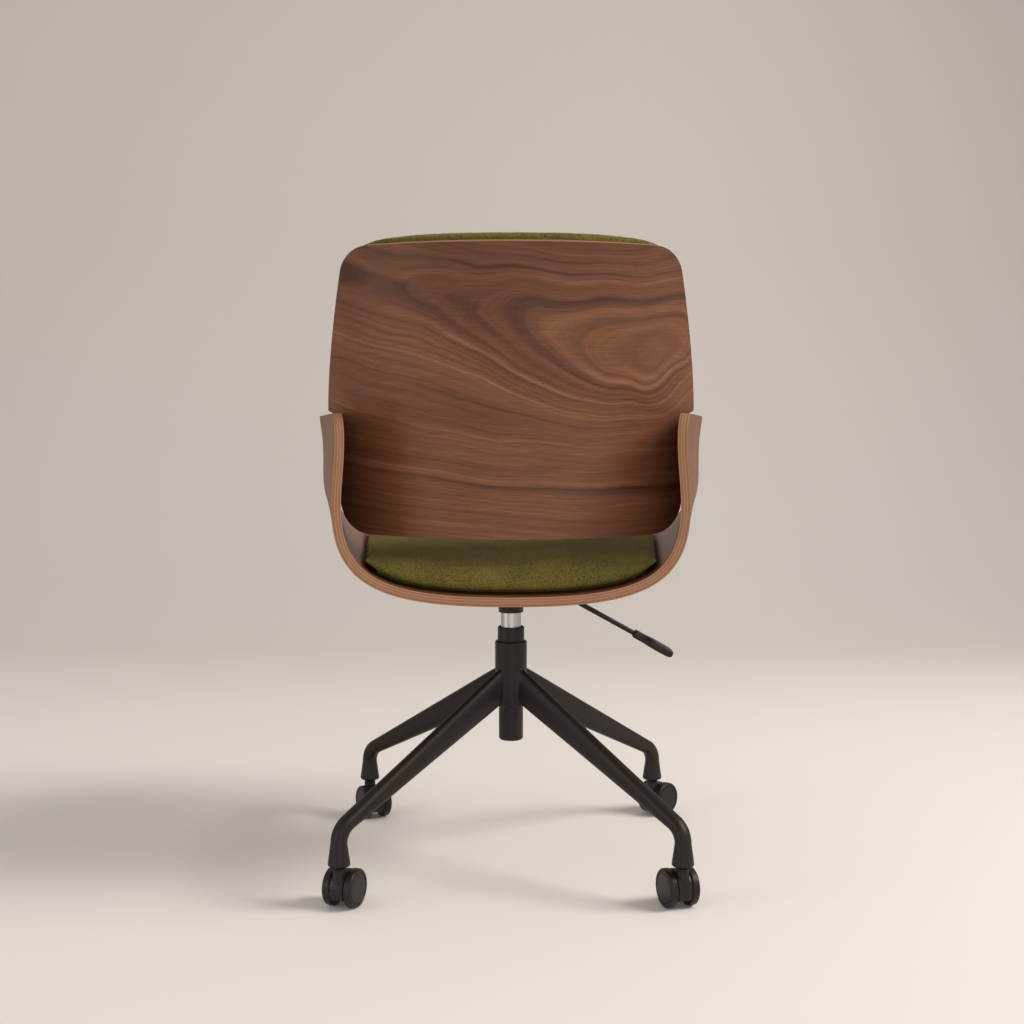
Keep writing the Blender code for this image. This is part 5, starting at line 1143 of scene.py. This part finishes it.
bolt = {"radius": 0.0030, "head": 0.0055, "headHeight": 0.0035, "flatShare": 0.62, "domeShare": 0.6,
        "socket": 0.0022, "socketDepth": 0.0022, "threads": 12, "spaceX": 0.0840, "spaceY": 0.1440}
nut = {"gap": 0.0003, "barrelWall": 0.0013, "flange": 0.0085, "flangeTall": 0.0012, "edge": 0.0003}


def makeBoltForm():
    low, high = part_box("seat_bolt_1")
    headTop, flat = low.z + bolt["headHeight"], bolt["flatShare"]
    profile = [(bolt["socket"] * 0.8 * part, low.z + bolt["socketDepth"]) for part in (0, 1)]
    profile += [(bolt["socket"], low.z + 0.0002), (bolt["head"] * flat, low.z)]
    profile += [(bolt["head"] * between(flat, 1.0, sine),
                 low.z + bolt["headHeight"] * bolt["domeShare"] * (1 - cosine)) for sine, cosine in quarterTurn(6)]
    profile += [(bolt["head"], headTop), (bolt["radius"], headTop)]
    pitch = (high.z - headTop - 0.005) / bolt["threads"]
    for step in range(bolt["threads"]):
        lowZ = headTop + 0.004 + pitch * step
        profile += [(bolt["radius"] - 0.0003, lowZ), (bolt["radius"], lowZ + pitch * 0.4),
                    (bolt["radius"], lowZ + pitch * 0.6)]
    profile += [(bolt["radius"] - 0.0004, high.z - 0.0004), (bolt["radius"] - 0.0008, high.z), (0, high.z)]
    return spunForm("boltForm", profile, 30)


def makeNutForm():
    low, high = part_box("tee_nut_1")
    bore, barrel = bolt["radius"] + nut["gap"], bolt["radius"] + nut["barrelWall"]
    flange, edge, under = nut["flange"], nut["edge"], high.z - nut["flangeTall"]
    profile = [(bore, low.z), (barrel, low.z), (barrel, under), (flange - edge, under), (flange, under + edge),
               (flange, high.z - edge), (flange - edge, high.z), (bore, high.z)]
    return spunForm("nutForm", profile, 36, closed=True)


for form, name, material, slot, node in ((makeBoltForm(), "seatBolts", blackPowder, "black_metal", "seat_bolt_"),
                                         (makeNutForm(), "teeNuts", zincSteel, "steel", "tee_nut_")):
    spacing = {"Space X": bolt["spaceX"], "Space Y": bolt["spaceY"], "Finish": material}
    piece = smoothFaces(spreadForm(form, name, makeRectangleTree, spacing))
    fitPiece(piece, "seat", slot, None, *[node + str(number) for number in range(1, 5)])
print("mechanism made")


# pieces that keep their CAD form

keptNodes = {
    "guide_bush": acetalWhite, "bearing_race_lower": zincSteel, "bearing_race_upper": zincSteel,
    "bearing_cage": zincSteel, "piston_rod": cylinderSteel, "rod_clip": zincSteel, "rubber_bumper": bumperRubber,
    "rod_guide": blackNylon, "release_pin": zincSteel, "lever_pivot_pin": zincSteel, "seat_board": olivePile,
    "back_board": olivePile, "arm_bracket_left_lower": blackPowder, "arm_bracket_left_upper": blackPowder,
    "arm_bracket_right_lower": blackPowder, "arm_bracket_right_upper": blackPowder,
}
for node, material in keptNodes.items():
    dress(nodes[node], material)
print("kept nodes dressed")


# studio, lights and camera

studio = {
    "floor": (0.84, 0.793, 0.742), "wall": (0.715, 0.669, 0.625), "keySideShade": (0.605, 0.566, 0.528),
    "front": 40.0, "back": -2.8, "rise": 3.2, "bend": 1.1, "half": 40.0, "wallFade": (-0.85, -2.25),
    "paintedShadeFade": (-0.25, -1.9), "air": (1.0, 0.975, 0.95, 1.0), "airStrength": 0.48,
    "beyond": (0.46, 0.425, 0.395, 1.0),
}
# name: place, target, size, power, colour, opening in degrees
lamps = {
    "keyRight": ((-3.3, 0.70, 2.90), (0, 0, 0.3), (1.8, 1.8), 56.0, (1.0, 0.975, 0.945), 115.0),
    "fillLeft": ((3.0, 1.7, 0.9), (0, 0, 0.5), (1.6, 1.6), 10.0, (1.0, 0.98, 0.96), 120.0),
    "fillCamera": ((-0.4, 3.4, 0.85), (0, 0, 0.5), (2.4, 1.2), 20.0, (1.0, 0.98, 0.96), 180.0),
}
view = {"place": (0.0, 2.1473, 0.6664), "pitch": 4.8, "focal": 1564.5, "sensor": 36.0, "pixels": 1024.0,
        "shift": 0.001}


def makeStudio():
    # one pale sweep: floor, a wide bend and the wall behind
    material, tree, shader = startMaterial("paleSweep", studio["floor"], 0.9)
    where = objectPlace(tree)
    side, depth = partsOf(tree, where)[:2]
    paper = noiseOf(tree, where, 3.0, 2.0, 0.5)
    share = spread(tree, calc(tree, "MULTIPLY_ADD", paper, 0.1, depth), *studio["wallFade"])
    # painted shade: the sweep is a shade darker on the key light's side, to take back the key's extra light there, so
    # that both sides look alike
    paintedShadeShare = calc(tree, "MULTIPLY", spread(tree, side, *studio["paintedShadeFade"]), share)
    colour = layered(tree, (*studio["floor"], 1.0), (share, (*studio["wall"], 1.0)),
                     (paintedShadeShare, (*studio["keySideShade"], 1.0)))
    wire(tree, shader, {"Base Color": colour, "Specular IOR Level": 0.1})
    back, bend = studio["back"], studio["bend"]
    line = [(studio["front"], 0.0), (back + bend, 0.0)]
    line += [(back + bend - bend * sine, bend * (1 - cosine)) for sine, cosine in quarterTurn(24)]
    line.append((back, studio["rise"]))
    bm = bmesh.new()
    rows = [[bm.verts.new((x, y, z)) for x in (-studio["half"], studio["half"])] for y, z in line]
    for low, high in zip(rows, rows[1:]):
        bm.faces.new((low[0], low[1], high[1], high[0]))
    sweep = makeFromForm("paleSweep", bm, False)
    sweep.data.shade_smooth()
    dress(sweep, material)


def addAreaLight(name, place, target, size, power, colour, opening):
    light = bpy.data.lights.new(name, "AREA")
    setAll(light, {"shape": "RECTANGLE", "size": size[0], "size_y": size[1], "energy": power, "color": colour,
                   "spread": math.radians(opening)})
    lamp = makeObject(name, light)
    lamp.location = place
    lamp.rotation_euler = (Vector(target) - Vector(place)).to_track_quat("-Z", "Y").to_euler()


def makeAir():
    world = bpy.data.worlds.new("studioAir")
    world.use_nodes = True
    tree = world.node_tree
    sky = tree.nodes["Background"]
    wire(tree, sky, {"Color": studio["air"], "Strength": studio["airStrength"]})
    # past the wall's end, other views see the wall's own tone
    seen = put(tree, "ShaderNodeBackground", {"Color": studio["beyond"]})
    path = put(tree, "ShaderNodeLightPath").outputs
    seenBy = calc(tree, "MAXIMUM", calc(tree, "MAXIMUM", path["Is Camera Ray"], path["Is Glossy Ray"]),
                  path["Is Transmission Ray"])
    mixed = put(tree, "ShaderNodeMixShader", {0: seenBy, 1: sky.outputs[0], 2: seen.outputs[0]})
    wire(tree, tree.nodes["World Output"], {"Surface": mixed.outputs[0]})
    bpy.context.scene.world = world


def makeCamera():
    camera = bpy.data.cameras.new("viewCamera")
    setAll(camera, {"sensor_width": view["sensor"], "sensor_fit": "HORIZONTAL", "shift_x": view["shift"],
                    "lens": view["focal"] * view["sensor"] / view["pixels"]})
    holder = makeObject("viewCamera", camera)
    holder.location = view["place"]
    holder.rotation_euler = (math.radians(90 - view["pitch"]), 0, math.pi)
    bpy.context.scene.camera = holder


makeStudio()
for name, values in lamps.items():
    addAreaLight(name, *values)
makeAir()
makeCamera()
bpy.context.scene.view_settings.view_transform = "Standard"
print("studio made")
